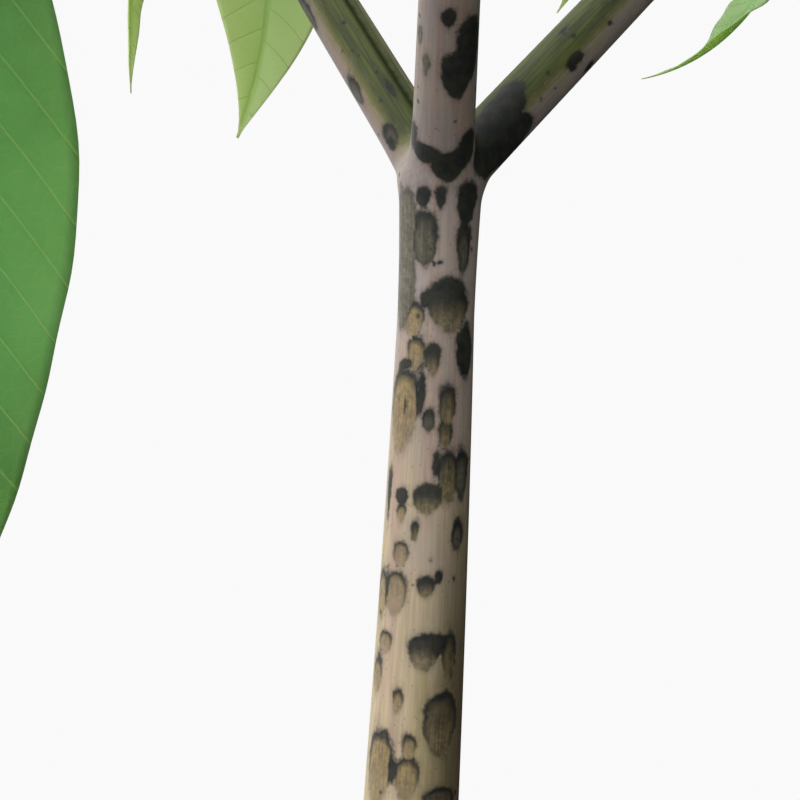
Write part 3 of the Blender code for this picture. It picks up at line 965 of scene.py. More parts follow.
@dataclass
class Sheaths:
    """Two papery scale leaves that wrap the stalk's foot."""

    stalk: "Stalk"
    inner_radius: float = 13.6
    wall: float = 0.7
    low: float = 124.3
    soil_top: float = 136
    rows: int = 90
    columns: int = 72
    # The way that each one's back faces, the angle that it wraps and its height above the soil
    wraps: dict[str, Triple] = field(
        default_factory=lambda: {"sheath_outer": (205, 168, 84), "sheath_inner": (28, 160, 58)}
    )
    finish: Finish = DrySheath()

    def build(self) -> None:
        """Makes the outer and the inner sheath."""
        for number, (node, (bearing, arc, height)) in enumerate(self.wraps.items()):
            points, fields = self.wrap(bearing, arc, height, number)
            make_piece(node + "_papery", points, skin_faces(self.rows, self.columns), self.finish, node, fields)

    def wrap(self, bearing: float, arc: float, height: float, number: int) -> tuple[Array, Fields]:
        """One sheath, clinging to the stalk below and curling off it at the tip.

        Args:
            bearing: the way that its back faces.
            arc: the angle that it wraps at the soil.
            height: how far its tip stands above the soil.
            number: sets it apart from the other sheath.

        Returns:
            Points of both skins and the fields for the finish.
        """
        rise = np.linspace(0, 1, self.rows)[:, None]
        share = np.linspace(-1, 1, self.columns)[None, :]
        z = between(self.low, self.soil_top + height, rise) * np.ones_like(share)
        half = arc / 2 * np.maximum(1 - rise**1.8, 0.02) ** 0.7
        jag = 1 + 0.02 * np.sin(rise * 41 + number) + 0.015 * np.sin(rise * 97)
        angle = np.radians(bearing + half * share * jag)
        centre = self.stalk.centre(z.ravel()).reshape(z.shape + (2,))
        cling = self.stalk.radius(z.ravel()).reshape(z.shape) + 2 * GAP
        above = np.clip((z - self.soil_top) / height, 0, 1)
        loose = 0.5 * above + 1.7 * above**3 + 1.6 * np.abs(share) ** 6 * above
        ripple = (0.28 * np.sin(angle * 9 + number) + 0.2 * np.sin(angle * 23 + rise * 6)) * above
        inner = np.minimum(cling + loose + ripple, self.inner_radius + 3.5 * above)
        thick = self.wall * between(1, 0.55, above) + 0.12 * np.maximum(np.sin(angle * 34), 0)
        x, y = np.cos(angle), np.sin(angle)
        skins = [
            np.stack([centre[..., 0] + radius * x, centre[..., 1] + radius * y, z], axis=-1).reshape(-1, 3)
            for radius in (inner + thick, inner)
        ]
        reel = np.stack([x * inner, y * inner, z * 0.04], axis=-1).reshape(-1, 3)
        edge = np.maximum(np.abs(share) * np.ones_like(rise), rise**2 * np.ones_like(share)).ravel()
        return np.concatenate(skins), {"grain": np.concatenate([reel, reel]), "edge": np.concatenate([edge, edge])}


# The stalk, its arms and the roots of their forks


@dataclass(frozen=True)
class Station:
    """A place on a limb's line, with the way that the limb runs and its upper side."""

    point: Vector
    forward: Vector
    upper: Vector


@dataclass
class Reading:
    """Where points lie against one limb, an array value for each point."""

    distance: Array  # from the limb's surface, negative inside
    along: Array  # height on the stalk, or the run from the hub on an arm
    bearing: Array  # degrees round the limb
    radius: Array
    reel: Array  # the place with its run along the limb shortened, so that noise on it makes streaks


class Part(Enum):
    """The limbs that the petiole is grown from."""

    STALK = "stalk"
    FRONT = "front"
    RIGHT = "right"
    LEFT = "left"


def ringed(rings: Sequence[tuple], sides: int = 28) -> Shape:
    """A closed tube over oval rings.

    Args:
        rings: middle, way forward, upper side, half width and half height of each ring.
        sides: points round each ring.

    Returns:
        Points and faces.
    """
    points = []
    for middle, forward, upper, wide, high in rings:
        across = forward.cross(upper)
        for i in range(sides):
            angle = math.tau * i / sides
            points.append((middle + across * wide * math.cos(angle) + upper * high * math.sin(angle))[:])
    ends = [list(range(sides)), list(range(len(points) - 1, len(points) - sides - 1, -1))]
    return np.array(points), grid_faces(len(rings), sides, wrap=True).tolist() + ends


@dataclass
class Stalk:
    """The upright part of the petiole: a slow bend to one side and an even taper."""

    hub: Vector = field(default_factory=lambda: Vector((21, 0, 476)))
    soil_top: float = 136
    foot: float = 106.3
    foot_lean: float = 0.068
    hub_lean: float = 0.035
    foot_radius: float = 13
    neck_radius: float = 7.05
    neck_drop: float = 24
    flare: float = 0.6

    def centre(self, height: Array) -> Array:
        """The x and y of the stalk's middle at each height.

        Args:
            height: heights above the pot's foot.

        Returns:
            x and y for each height.
        """
        span = self.hub.z - self.soil_top
        s = np.clip((height - self.soil_top) / span, 0, 1.02)
        x = (s**3 - 2 * s**2 + s) * span * self.foot_lean + (3 * s**2 - 2 * s**3) * self.hub.x
        x = x + (s**3 - s**2) * span * self.hub_lean
        return np.stack([x, np.zeros_like(x)], axis=-1)

    def radius(self, height: Array) -> Array:
        """The stalk's radius at each height.

        Args:
            height: heights above the pot's foot.

        Returns:
            One radius per height.
        """
        drop = self.hub.z - height
        neck = self.neck_radius + self.flare * np.clip(1 - drop / self.neck_drop, 0, 1) ** 2
        share = (drop - self.neck_drop) / (self.hub.z - self.soil_top - self.neck_drop)
        taper = between(self.neck_radius, self.foot_radius, np.clip(share, 0, 1))
        return np.where(drop < self.neck_drop, neck, taper)

    def read(self, points: Array) -> Reading:
        """Measures points against the stalk.

        Args:
            points: places in millimetres.

        Returns:
            Their reading.
        """
        height = np.minimum(points[:, 2], self.hub.z)
        radial = points[:, :2] - self.centre(height)
        over = np.maximum(points[:, 2] - self.hub.z, 0)
        radius = self.radius(height)
        distance = np.maximum(np.hypot(np.linalg.norm(radial, axis=1), over) - radius, self.foot - points[:, 2])
        bearing = np.degrees(np.arctan2(radial[:, 1], radial[:, 0]))
        reel = np.column_stack([radial, (points[:, 2] - self.hub.z) * STREAK])
        return Reading(distance, points[:, 2], bearing, radius, reel)

    def tube(self) -> Shape:
        """A plain tube along the stalk, as clay for the finer shape.

        Returns:
            Points and faces.
        """
        heights = np.concatenate([np.linspace(self.foot, self.hub.z, 40), self.hub.z + np.array([3.0, 5.5, 7.0])])
        below = np.minimum(heights, self.hub.z)
        radii = self.radius(below) * np.concatenate([np.ones(40), [0.9, 0.65, 0.3]])
        centres = np.column_stack([self.centre(below), heights]).tolist()
        return ringed([(Vector(c), Vector((0, 0, 1)), Vector((0, 1, 0)), r, r) for c, r in zip(centres, radii)])


@dataclass
class Arm:
    """One of the three arms: straight from the hub to its forks, with a narrow channel along its upper side."""

    hub: Vector
    bearing: float
    lean: float
    length: float
    radius: float
    sink: float = 3
    root_swell: float = 0.1
    root_length: float = 20
    tip_share: float = 0.86
    groove_depth: float = 0.34
    groove_spread: float = 13
    groove_start: float = 6
    lip_height: float = 0.035
    lip_spread: float = 12
    start: float = 2.5  # its rounded root starts here, just inside the stalk, so that it makes no bulge behind it
    turn: float = 0  # degrees by which the channel lies off the upper side
    green_turn: float = 0  # degrees by which the middle of the green lies off it
    green_edge: float = 85  # degrees from that middle to where the green gives way
    deep: float = 1  # how much deeper the green is in the channel, partly as painted shade
    dusk: float = 0.36  # painted shade: how much darker its skin is painted than the stalk's, for the leaves' shadow over it

    def __post_init__(self) -> None:
        """Works out the arm's three directions."""
        self.forward, self.upper = (heading(self.bearing, climb - self.lean) for climb in (90, 180))
        self.across = self.forward.cross(self.upper)

    def end(self) -> Vector:
        """The arm's far end, where its forks start."""
        return self.hub + self.forward * self.length

    def radius_at(self, along: Array) -> Array:
        """The arm's radius at each run from the hub, without its channel.

        Args:
            along: runs from the hub.

        Returns:
            One radius per run.
        """
        share = np.clip((along + self.sink) / (self.length + self.sink), 0, 1)
        swell = 1 + self.root_swell * (1 - ease(share * self.length / self.root_length))
        return self.radius * swell * between(1, self.tip_share, share)

    def read(self, points: Array) -> Reading:
        """Measures points against the arm.

        Args:
            points: places in millimetres.

        Returns:
            Their reading; the bearing is 0 in the channel and positive towards the arm's across side.
        """
        forward, upper, across = (np.array(v) for v in (self.forward, self.upper, self.across))
        rel = points - np.array(self.hub)
        along = rel @ forward
        inside = np.clip(along, self.start, self.length)
        radial = rel - along[:, None] * forward
        bearing = np.degrees(np.arctan2(radial @ across, radial @ upper))
        plain = self.radius_at(along)
        start = ease((along - self.groove_start) / 14)
        off = np.abs(bearing_off(bearing, self.turn))
        groove = self.groove_depth * start * hump(off, self.groove_spread)
        lips = self.lip_height * start * hump(off - 2.3 * self.groove_spread, self.lip_spread)
        distance = np.hypot(np.linalg.norm(radial, axis=1), along - inside) - plain * (1 - groove + lips)
        return Reading(distance, along, bearing, plain, radial + along[:, None] * forward * STREAK)

    def tube(self) -> Shape:
        """A plain tube along the arm, as clay for the finer shape.

        Returns:
            Points and faces.
        """
        runs = np.concatenate([np.linspace(-self.sink, self.length, 16), [self.length + 2.5, self.length + 4]])
        radii = self.radius_at(runs) * np.concatenate([np.ones(16), [0.85, 0.5]])
        sizes = zip(runs.tolist(), radii)
        return ringed([(self.hub + self.forward * s, self.forward, self.upper, r, r) for s, r in sizes])


@dataclass(frozen=True)
class Fork:
    """One fork of an arm: side 1 turns to the left of the arm's way and -1 to the right."""

    arm: Part
    side: int
    split_start: float
    split_end: float
    climb_end: float
    length: float = 186
    steps: int = 12
    sink: float = 3

    def way(self, arm: Arm, share: float) -> tuple[float, float]:
        """The fork's bearing and climb at a share of its length."""
        turn = self.side * between(self.split_start, self.split_end, share)
        return arm.bearing + turn, between(90 - arm.lean, self.climb_end, share)

    def line(self, arm: Arm) -> list[Station]:
        """The stations of the fork, from inside its arm's end to its tip.

        Args:
            arm: the arm that it grows from.

        Returns:
            The stations.
        """
        point, stations = arm.end() - arm.forward * self.sink, []
        for i in range(self.steps + 1):
            bearing, climb = self.way(arm, i / self.steps)
            stations.append(Station(point.copy(), heading(bearing, climb), heading(bearing, climb + 90)))
            point = point + heading(*self.way(arm, (i + 0.5) / self.steps)) * (self.length / self.steps)
        return stations


@dataclass(frozen=True)
class Rib:
    """The section of a fork's rib: flat, with thin edges, and smaller towards its tip."""

    half_width: float = 3.9
    half_height: float = 2.8
    tip_share: float = 0.36

    def size(self, share: float) -> float:
        """How large the section is at a share of the way along the fork."""
        return between(1, self.tip_share, share)


@dataclass
class ForkRoot:
    """The first step of a fork, which is grown in one with its arm."""

    start: Station
    end: Station
    rib: Rib
    share: float

    def halves(self, share: Any) -> tuple[Any, Any]:
        """The half width and half height at a share of the root's length."""
        size = between(1, self.rib.size(self.share), share)
        return self.rib.half_width * size, self.rib.half_height * size

    def read(self, points: Array) -> Reading:
        """Measures points against the fork's root.

        Args:
            points: places in millimetres.

        Returns:
            Their reading.
        """
        run = self.end.point - self.start.point
        way = run.normalized()
        upper = (self.start.upper - way * self.start.upper.dot(way)).normalized()
        forward, rel = np.array(way), points - np.array(self.start.point)
        along = rel @ forward
        wide, high = self.halves(np.clip(along / run.length, 0, 1))
        x, y = rel @ np.array(way.cross(upper)), rel @ np.array(upper)
        whole = np.sqrt((x / wide) ** 2 + (y / high) ** 2 + (np.minimum(along, 0) / high) ** 2)
        distance = np.maximum((whole - 1) * np.sqrt(wide * high), along - run.length)
        reel = rel - along[:, None] * forward + along[:, None] * forward * STREAK
        return Reading(distance, along, np.degrees(np.arctan2(x, y)), high, reel)

    def tube(self) -> Shape:
        """A plain tube along the root, as clay for the finer shape.

        Returns:
            Points and faces.
        """
        start, end = self.start, self.end
        shares = [i / 4 for i in range(5)]
        return ringed([(start.point.lerp(end.point, t), start.forward, start.upper, *self.halves(t)) for t in shares])


class Look(Enum):
    """The looks of a blotch.

    Each is the width of its rim (mm), the rim's thickening towards the top, the core's lightness and warmth, how far
    the rim opens at the foot (mm), and how much darker the core is at the top.
    """

    SOLID = (2.6, 0.3, 0.1, 0.2, 0.0, 0.0)
    HOODED = (1.1, 0.6, 1.1, 0.5, 0.9, 0.95)
    OLIVE = (1.0, 0.5, 0.9, 0.15, 0.2, 0.3)
    TAN = (0.8, 0.7, 1.35, 0.95, 0.6, 0.15)
    BROWN = (0.9, 0.6, 1.05, 0.65, 0.5, 0.5)
    GHOST = (0.45, 1.0, 1.7, 0.6, 1.0, 0.1)
    RING = (0.7, 0.6, 1.6, 0.7, 0.3, 0.2)
    BAND = (0.3, 0.0, 1.05, 0.15, 0.2, 0.0)


@dataclass(frozen=True)
class Blotch:
    """A blotch in the skin: where it is on its limb, its half width and half height in millimetres, and its look."""

    part: Part
    along: float
    bearing: float
    half_width: float
    half_height: float
    look: Look
    taper: float = 0.25

    def nearness(self, other: tuple[float, float, float, float], radius: float) -> float:
        """How near another blotch is: 1 where their edges touch.

        Args:
            other: its place along the limb, bearing, half width and half height.
            radius: the limb's radius.

        Returns:
            The nearness.
        """
        along, bearing, wide, tall = other
        turn = math.radians(bearing_off(bearing, self.bearing)) * radius
        return math.hypot(turn / (wide + self.half_width), (along - self.along) / (tall + self.half_height))

    def depth(self, reading: Reading) -> tuple[Array, Array]:
        """How deep points lie inside the blotch.

        Args:
            reading: the points against its limb.

        Returns:
            The depth in millimetres, negative outside, and the place in it from -1 at its foot to 1 at its top.
        """
        turn = np.radians(bearing_off(reading.bearing, self.bearing))
        up = (reading.along - self.along) / self.half_height
        rise = np.clip(up, -1, 1)
        out = turn * reading.radius / (self.half_width * (1 + self.taper * rise))
        depth = (1 - np.sqrt(out**2 + up**2)) * (min(self.half_width, self.half_height) + 0.8)
        return depth - np.maximum(reading.distance - 2.5, 0) * 1.5, rise


# Rows of place along the limb, bearing, half width and half height. On an arm the bearing is 0 in its channel.
BLOTCHES: dict[tuple[Part, Look], list[tuple[float, float, float, float]]] = {
    (Part.FRONT, Look.SOLID): [
        (39.4, 177, 1.3, 2.0), (27.6, 198, 3.0, 4.9), (32.5, -136, 2.9, 6.6), (10.6, 141, 3.1, 2.0),
        (8.6, 189, 3.5, 2.9), (9.6, -148, 2.6, 2.6), (11.6, -130, 2.2, 3.6), (12.4, 106, 1.4, 3.2),
    ],
    (Part.FRONT, Look.BAND): [(29.0, 135, 0.8, 2.3), (33.8, 112, 0.9, 2.0)],
    (Part.STALK, Look.SOLID): [
        (473.6, -114, 1.5, 2.0), (473.1, -90, 1.0, 2.3), (472.6, -50, 2.4, 4.4), (461.5, -95, 0.35, 0.4),
        (461.8, -86, 0.35, 0.4), (455.1, -108, 1.0, 1.8), (443.5, -136, 1.6, 1.0), (445.5, -40, 2.4, 5.3),
        (438.4, -107, 0.8, 4.8), (436.1, -132, 0.4, 1.3), (425.3, -80, 0.7, 2.3), (419.6, -129, 1.5, 1.7),
        (419.9, -157, 0.9, 4.6), (408.2, -82, 0.45, 0.45), (404.5, -47, 0.35, 0.6), (405.1, -71, 0.7, 1.2),
        (392.8, -67, 1.6, 2.2), (370.6, -117, 0.8, 2.9), (403.5, -146, 0.6, 3.4), (380.0, -79, 0.3, 0.4),
    ],
    (Part.STALK, Look.HOODED): [
        (453.9, -71, 4.1, 5.2), (444.4, -93, 1.4, 3.1), (419.1, -91, 2.7, 2.7), (403.3, -87, 1.8, 2.2),
        (391.8, -84, 3.3, 3.5),
    ],
    (Part.STALK, Look.OLIVE): [
        (466.4, -112, 2.7, 5.2), (464.6, -50, 1.7, 5.2), (433.4, -95, 1.3, 2.3), (412.7, -44, 1.6, 3.6),
        (423.8, -40, 2.2, 5.0),
    ],
    (Part.STALK, Look.BAND): [(466.5, -151, 3.3, 9.5), (457.0, -150, 3.2, 7.5)],
    (Part.STALK, Look.TAN): [
        (451.5, -125, 2.1, 3.7), (445.6, -119, 1.8, 3.6), (435.3, -137, 3.7, 7.9), (416.7, -128, 1.0, 1.8),
        (402.1, -157, 2.1, 4.6), (387.6, -155, 1.7, 3.8), (382.9, -115, 1.2, 2.6), (370.8, -139, 3.3, 7.4),
        (374.5, -97, 1.4, 2.4), (368.8, -99, 2.2, 4.4),
    ],
    (Part.STALK, Look.BROWN): [
        (435.6, -68, 1.7, 4.3), (430.9, -69, 1.4, 3.0), (423.5, -62, 2.2, 5.0), (413.5, -106, 0.8, 2.1),
        (391.1, -50, 2.0, 4.5), (378.7, -57, 3.7, 6.2), (364.1, -54, 3.6, 3.2),
    ],
    (Part.STALK, Look.GHOST): [(369.4, -133, 1.4, 3.1)],
    (Part.STALK, Look.RING): [(402.3, -130, 2.6, 4.2), (409.3, -125, 1.7, 2.5), (393.3, -141, 1.8, 2.1)],
    (Part.LEFT, Look.SOLID): [
        (11.2, -92, 1.2, 1.5), (21.3, -33, 0.6, 2.8), (41.0, -44, 0.4, 0.5), (34.0, -61, 0.3, 0.4),
        (26.7, -40, 0.3, 0.5),
    ],
    (Part.LEFT, Look.OLIVE): [(12.6, -84, 1.9, 2.9), (27.4, -106, 1.7, 3.9), (49.7, -112, 1.6, 4.7)],
    (Part.RIGHT, Look.SOLID): [
        (12.2, 100, 5.3, 8.2), (15.6, 62, 3.7, 6.8), (19.6, 47, 2.3, 5.0), (17.6, 112, 2.6, 3.6),
        (12.0, 130, 2.4, 5.0), (34.4, 97, 1.2, 2.5), (33.0, 105, 0.9, 1.0), (37.2, 33, 0.5, 1.9),
        (37.5, 60, 0.5, 0.6), (36.2, 141, 0.8, 1.6), (24.1, 103, 0.4, 0.4), (27.7, 110, 0.3, 0.3),
        (44.5, 99, 0.4, 0.4),
    ],
}


@dataclass(frozen=True)
class Spread:
    """How blotches are strewn over a limb where none are listed."""

    part: Part
    count: int
    start: float
    end: float
    bare: tuple[float, float, float, float]  # the listed area: its run along the limb and its two bearings
    green: float = 0  # degrees to each side of an arm's channel that stay clear
    sizes: tuple[float, float] = (1.4, 4.2)
    stretch: tuple[float, float] = (1.2, 2.4)
    radius: float = 5.2


SPREADS: list[Spread] = [
    Spread(Part.STALK, 150, 130, 474, (361, 480, -178, -8), radius=10),
    Spread(Part.FRONT, 17, 6, 84, (-9, 47, 78, 282), 48, (0.7, 2.2)),
    Spread(Part.RIGHT, 17, 6, 88, (-9, 47, -25, 168), 42, (0.7, 2.2)),
    Spread(Part.LEFT, 17, 6, 86, (-9, 47, -168, 25), 42, (0.7, 2.2)),
]


@dataclass
class Petiole:
    """The mottled stalk with its arms and the roots of their forks, grown as one piece."""

    stalk: Stalk
    arms: dict[Part, Arm]
    roots: list[ForkRoot]
    cell: float = 0.64
    weld: float = 2.5
    root_weld: float = 1.8
    even_rounds: int = 3
    evening: float = 0.6  # how far a vertex goes to the middle of its neighbours in each round
    blend: float = 1.2  # how far the limbs' markings run into each other
    low_run: float = 108  # how far below the hub the stalk has its lower colours
    painted_shade_bearing: float = 20  # the middle of the stalk's side that gets painted shade, away from the window
    painted_shade_edge: float = 100  # degrees from that middle to where the painted shade ends
    finish: Finish = StalkSkin()

    def readings(self, points: Array) -> dict[Part, Reading]:
        """Measures points against the stalk and each arm."""
        return {part: limb.read(points) for part, limb in {Part.STALK: self.stalk, **self.arms}.items()}

    def distance(self, points: Array) -> Array:
        """How far points lie outside the petiole, whose limbs flow into each other.

        Args:
            points: places in millimetres.

        Returns:
            One distance per point, negative inside.
        """
        whole, *others = (reading.distance for reading in self.readings(points).values())
        for other in others:
            whole = welded(whole, other, self.weld)
        for root in self.roots:
            whole = welded(whole, root.read(points).distance, self.root_weld)
        return whole

    def clay(self) -> bpy.types.Mesh:
        """The limbs' plain tubes, melted into one even mesh.

        Returns:
            The mesh.
        """
        points, faces = joined(limb.tube() for limb in [self.stalk, *self.arms.values(), *self.roots])
        mesh = bpy.data.meshes.new("clay")
        mesh.from_pydata((points * MM).tolist(), [], faces)
        lump = put("clay", mesh)
        melt = lump.modifiers.new("melt", "REMESH")
        melt.mode, melt.voxel_size = "VOXEL", self.cell * MM
        made = evaluated(lump)
        bpy.data.objects.remove(lump)
        return made

    def pull(self, points: Array, times: int = 1) -> Array:
        """Moves points onto the petiole's surface.

        Args:
            points: places near it, in millimetres.
            times: how often each is moved.

        Returns:
            The moved points.
        """
        step, flattest, longest = 0.05, 0.25, 1.5
        for _ in range(times):
            here = self.distance(points)
            slope = np.stack([self.distance(points + step * axis) - here for axis in np.eye(3)], axis=-1) / step
            steep = np.maximum((slope**2).sum(axis=1), flattest)
            points = points - slope * np.clip(here / steep, -longest, longest)[:, None]
        return points

    def build(self) -> bpy.types.Object:
        """Shapes the petiole and lays its markings on it.

        Returns:
            The petiole.
        """
        mesh = self.clay()
        points = np.empty(len(mesh.vertices) * 3)
        mesh.vertices.foreach_get("co", points)
        points = self.pull(points.reshape(-1, 3) / MM, 3)
        edges = np.empty(len(mesh.edges) * 2, dtype=np.int64)
        mesh.edges.foreach_get("vertices", edges)
        for _ in range(self.even_rounds):
            points = self.pull(points + self.evening * (evened(points, edges.reshape(-1, 2)) - points))
        points = self.pull(points)
        faces = [list(p.vertices) for p in mesh.polygons]
        return make_piece("petiole_grown", points, faces, self.finish, "petiole", self.markings(points))

    def markings(self, points: Array) -> Fields:
        """The fields that the skin's colours follow.

        Args:
            points: the petiole's vertices.

        Returns:
            The fields mark, tone, dusk and grain.
        """
        readings = self.readings(points)
        distances = np.stack([r.distance for r in readings.values()])
        weight = np.exp(-(distances - distances.min(axis=0)) / self.blend)
        weight /= weight.sum(axis=0)
        grain = sum(w[:, None] * r.reel for w, r in zip(weight, readings.values()))
        greens = [self.greenness(arm, readings[part]) for part, arm in self.arms.items()]
        green = sum(share * one for share, one in zip(weight[1:], greens))
        height, bearing = points[:, 2], readings[Part.STALK].bearing
        low = ease((self.stalk.hub.z + 2 - height) / self.low_run) * weight[0] ** 0.3
        # Painted shade on the stalk's far side, which the window doesn't reach, and painted light on its left edge,
        # which it does
        far = ease((self.painted_shade_edge + 18 * low - np.abs(bearing - self.painted_shade_bearing)) / 60) * ease((452 - height) / 65)
        # Painted window light: the left edge, facing the window, turns to the lighter, creamier lower colours
        painted_window_light = ease((60 - np.abs((bearing + 350) % 360 - 180)) / 40) * ease((455 - height) / 20)
        depth = np.full(len(points), -9.0)
        rim, core, warm = np.zeros((3, len(points)))
        blotches = self.blotches()
        for blotch in blotches:
            inside, rise = blotch.depth(readings[blotch.part])
            best = inside > depth
            width, top, light, hue, opening, hood = blotch.look.value
            depth = np.where(best, inside, depth)
            rim = np.where(best, width * (1 + top * rise) - opening * (1 - rise) / 2, rim)
            core = np.where(best, light * (1 - hood * ease((rise + 0.8) / 1.2)), core)
            warm = np.where(best, hue, warm)
        # A solid blotch darkens those that it lies over
        for blotch in (b for b in blotches if b.look is Look.SOLID):
            core *= 1 - np.clip(blotch.depth(readings[blotch.part])[0] / 0.6 + 0.5, 0, 1)
        # The painted shade grows down the stalk and is fainter on the blotches
        far *= between(0.45, 0.76, low) * (1 - 0.5 * np.clip(depth / 0.8 + 0.5, 0, 1))
        dusk = weight[0] * far + sum(share * arm.dusk for share, arm in zip(weight[1:], self.arms.values()))
        mark = np.column_stack([np.maximum(depth, -3), rim, core])
        return {"mark": mark, "tone": np.column_stack([warm, green, low + 0.3 * painted_window_light]), "dusk": dusk, "grain": grain}

    def greenness(self, arm: Arm, reading: Reading) -> Array:
        """How green an arm's skin is: up to 1 on its upper side, and more in its channel.

        Args:
            arm: the arm.
            reading: the points against it.

        Returns:
            One value per point.
        """
        channel = hump(np.abs(bearing_off(reading.bearing, arm.turn)), 22) * ease((reading.along - 6) / 14)
        off = np.abs(bearing_off(reading.bearing, arm.green_turn))
        upper = ease((arm.green_edge - off) / 70 + 0.5)
        return (upper + arm.deep * channel) * ease((reading.along + 3) / 16)

    def blotches(self) -> list[Blotch]:
        """Every blotch: those listed for the side that is seen, and a seeded spread over the rest.

        Returns:
            The blotches.
        """
        made = [Blotch(part, *row, look) for (part, look), rows in BLOTCHES.items() for row in rows]
        draw = random.Random(SEED)
        for spread in SPREADS:
            made += self.strewn(spread, draw)
        return made

    def strewn(self, spread: Spread, draw: random.Random) -> list[Blotch]:
        """Strews blotches over a limb, mostly clear of each other.

        Args:
            spread: how many, how large and where.
            draw: the random draw.

        Returns:
            The blotches.
        """
        low, high, left, right = spread.bare
        made: list[Blotch] = []
        for _ in range(spread.count * 60):
            if len(made) == spread.count:
                break
            along, bearing = draw.uniform(spread.start, spread.end), draw.uniform(-180, 180)
            wide = draw.uniform(*spread.sizes)
            tall = wide * draw.uniform(*spread.stretch)
            reach = math.degrees(wide / spread.radius)
            turn = (bearing - left) % 360
            seen = turn < right - left + reach or turn > 360 - reach
            if seen and low - tall < along < high + tall or abs(bearing) < spread.green:
                continue
            place = along, bearing, wide, tall
            crowd = draw.uniform(0.6, 1.0) if draw.random() < 0.15 else draw.uniform(1.05, 1.2)
            if any(blotch.nearness(place, spread.radius) < crowd for blotch in made):
                continue
            lower = 0.5 if spread.part is not Part.STALK else min((self.stalk.hub.z - along) / 170, 1)
            lights = [Look.TAN, Look.BROWN, Look.HOODED, Look.GHOST]
            look = draw.choice(lights if draw.random() < lower * 0.85 else [Look.SOLID, Look.OLIVE, Look.HOODED])
            made.append(Blotch(spread.part, *place, look, draw.uniform(-0.05, 0.35)))
        return made


def welded(first: Array, second: Array, reach: float) -> Array:
    """The nearer of two distances, with the crease between them filled.

    Args:
        first: distances from one shape.
        second: distances from another.
        reach: how far from the crease the filling starts.

    Returns:
        The distances from both shapes as one.
    """
    share = np.clip(0.5 + 0.5 * (second - first) / reach, 0, 1)
    return between(second, first, share) - reach * share * (1 - share)


def evened(points: Array, edges: Array) -> Array:
    """The middle of each point's neighbours.

    Args:
        points: the vertices.
        edges: pairs of vertex numbers.

    Returns:
        One place per vertex.
    """
    here, there = np.concatenate([edges, edges[:, ::-1]]).T
    total = [np.bincount(here, weights=points[there, axis], minlength=len(points)) for axis in range(3)]
    return np.stack(total, axis=-1) / np.maximum(np.bincount(here, minlength=len(points))[:, None], 1)


# The fronds


@dataclass(frozen=True)
class Aim:
    """A leaflet that is led to where it is seen: its bend, tip, facing, half width, and how pale it is painted, for
    its youth and the glow of backlight through it.
    """

    bend: Triple
    tip: Triple
    face: Triple
    half_width: float
    youth_and_glow: float


# Each leaflet's place on the rib, side, angle to it and length; side 0 is the one at the tip
LEAFLETS: list[tuple[float, int, float, float]] = [
    (0.05, 1, 78, 58), (0.21, 1, 74, 70), (0.27, -1, 40, 42), (0.38, 1, 70, 82), (0.44, -1, 52, 60), (0.55, 1, 64, 90),
    (0.61, -1, 56, 76), (0.72, 1, 56, 96), (0.79, -1, 48, 86), (0.88, 1, 42, 94), (1.00, 0, 0, 104),
]

AIMS: dict[tuple[str, int], Aim] = {
    ("left_a", 0): Aim((-38.5, 11.9, 538.5), (-36, 4.2, 493.6), (1.1, -0.42, 0.26), 7.8, 0.95),
    ("left_b", 2): Aim((-5.8, 60, 525), (-19.8, 60, 490.7), (0.2, -1, 0.08), 14, 0.82),
    ("right_b", 0): Aim((82.5, -16.5, 499.6), (56.3, -15.7, 494), (-0.68, 0.13, 1.26), 4.9, 0.35),
    ("right_a", 0): Aim((66, 80, 548), (48, 100, 522), (0, 0.4, 0.9), 9, 0.5),
    ("front_b", 10): Aim((-41.2, -198, 434.2), (-37.1, -200, 404.4), (-0.23, -1, 0.05), 18.3, 0),
}


@dataclass(frozen=True)
class Curve:
    """What a leaflet follows: the base, bend, tip and upper side of its curve, and its half width."""

    base: Vector
    bend: Vector
    tip: Vector
    side: Vector
    half_width: float


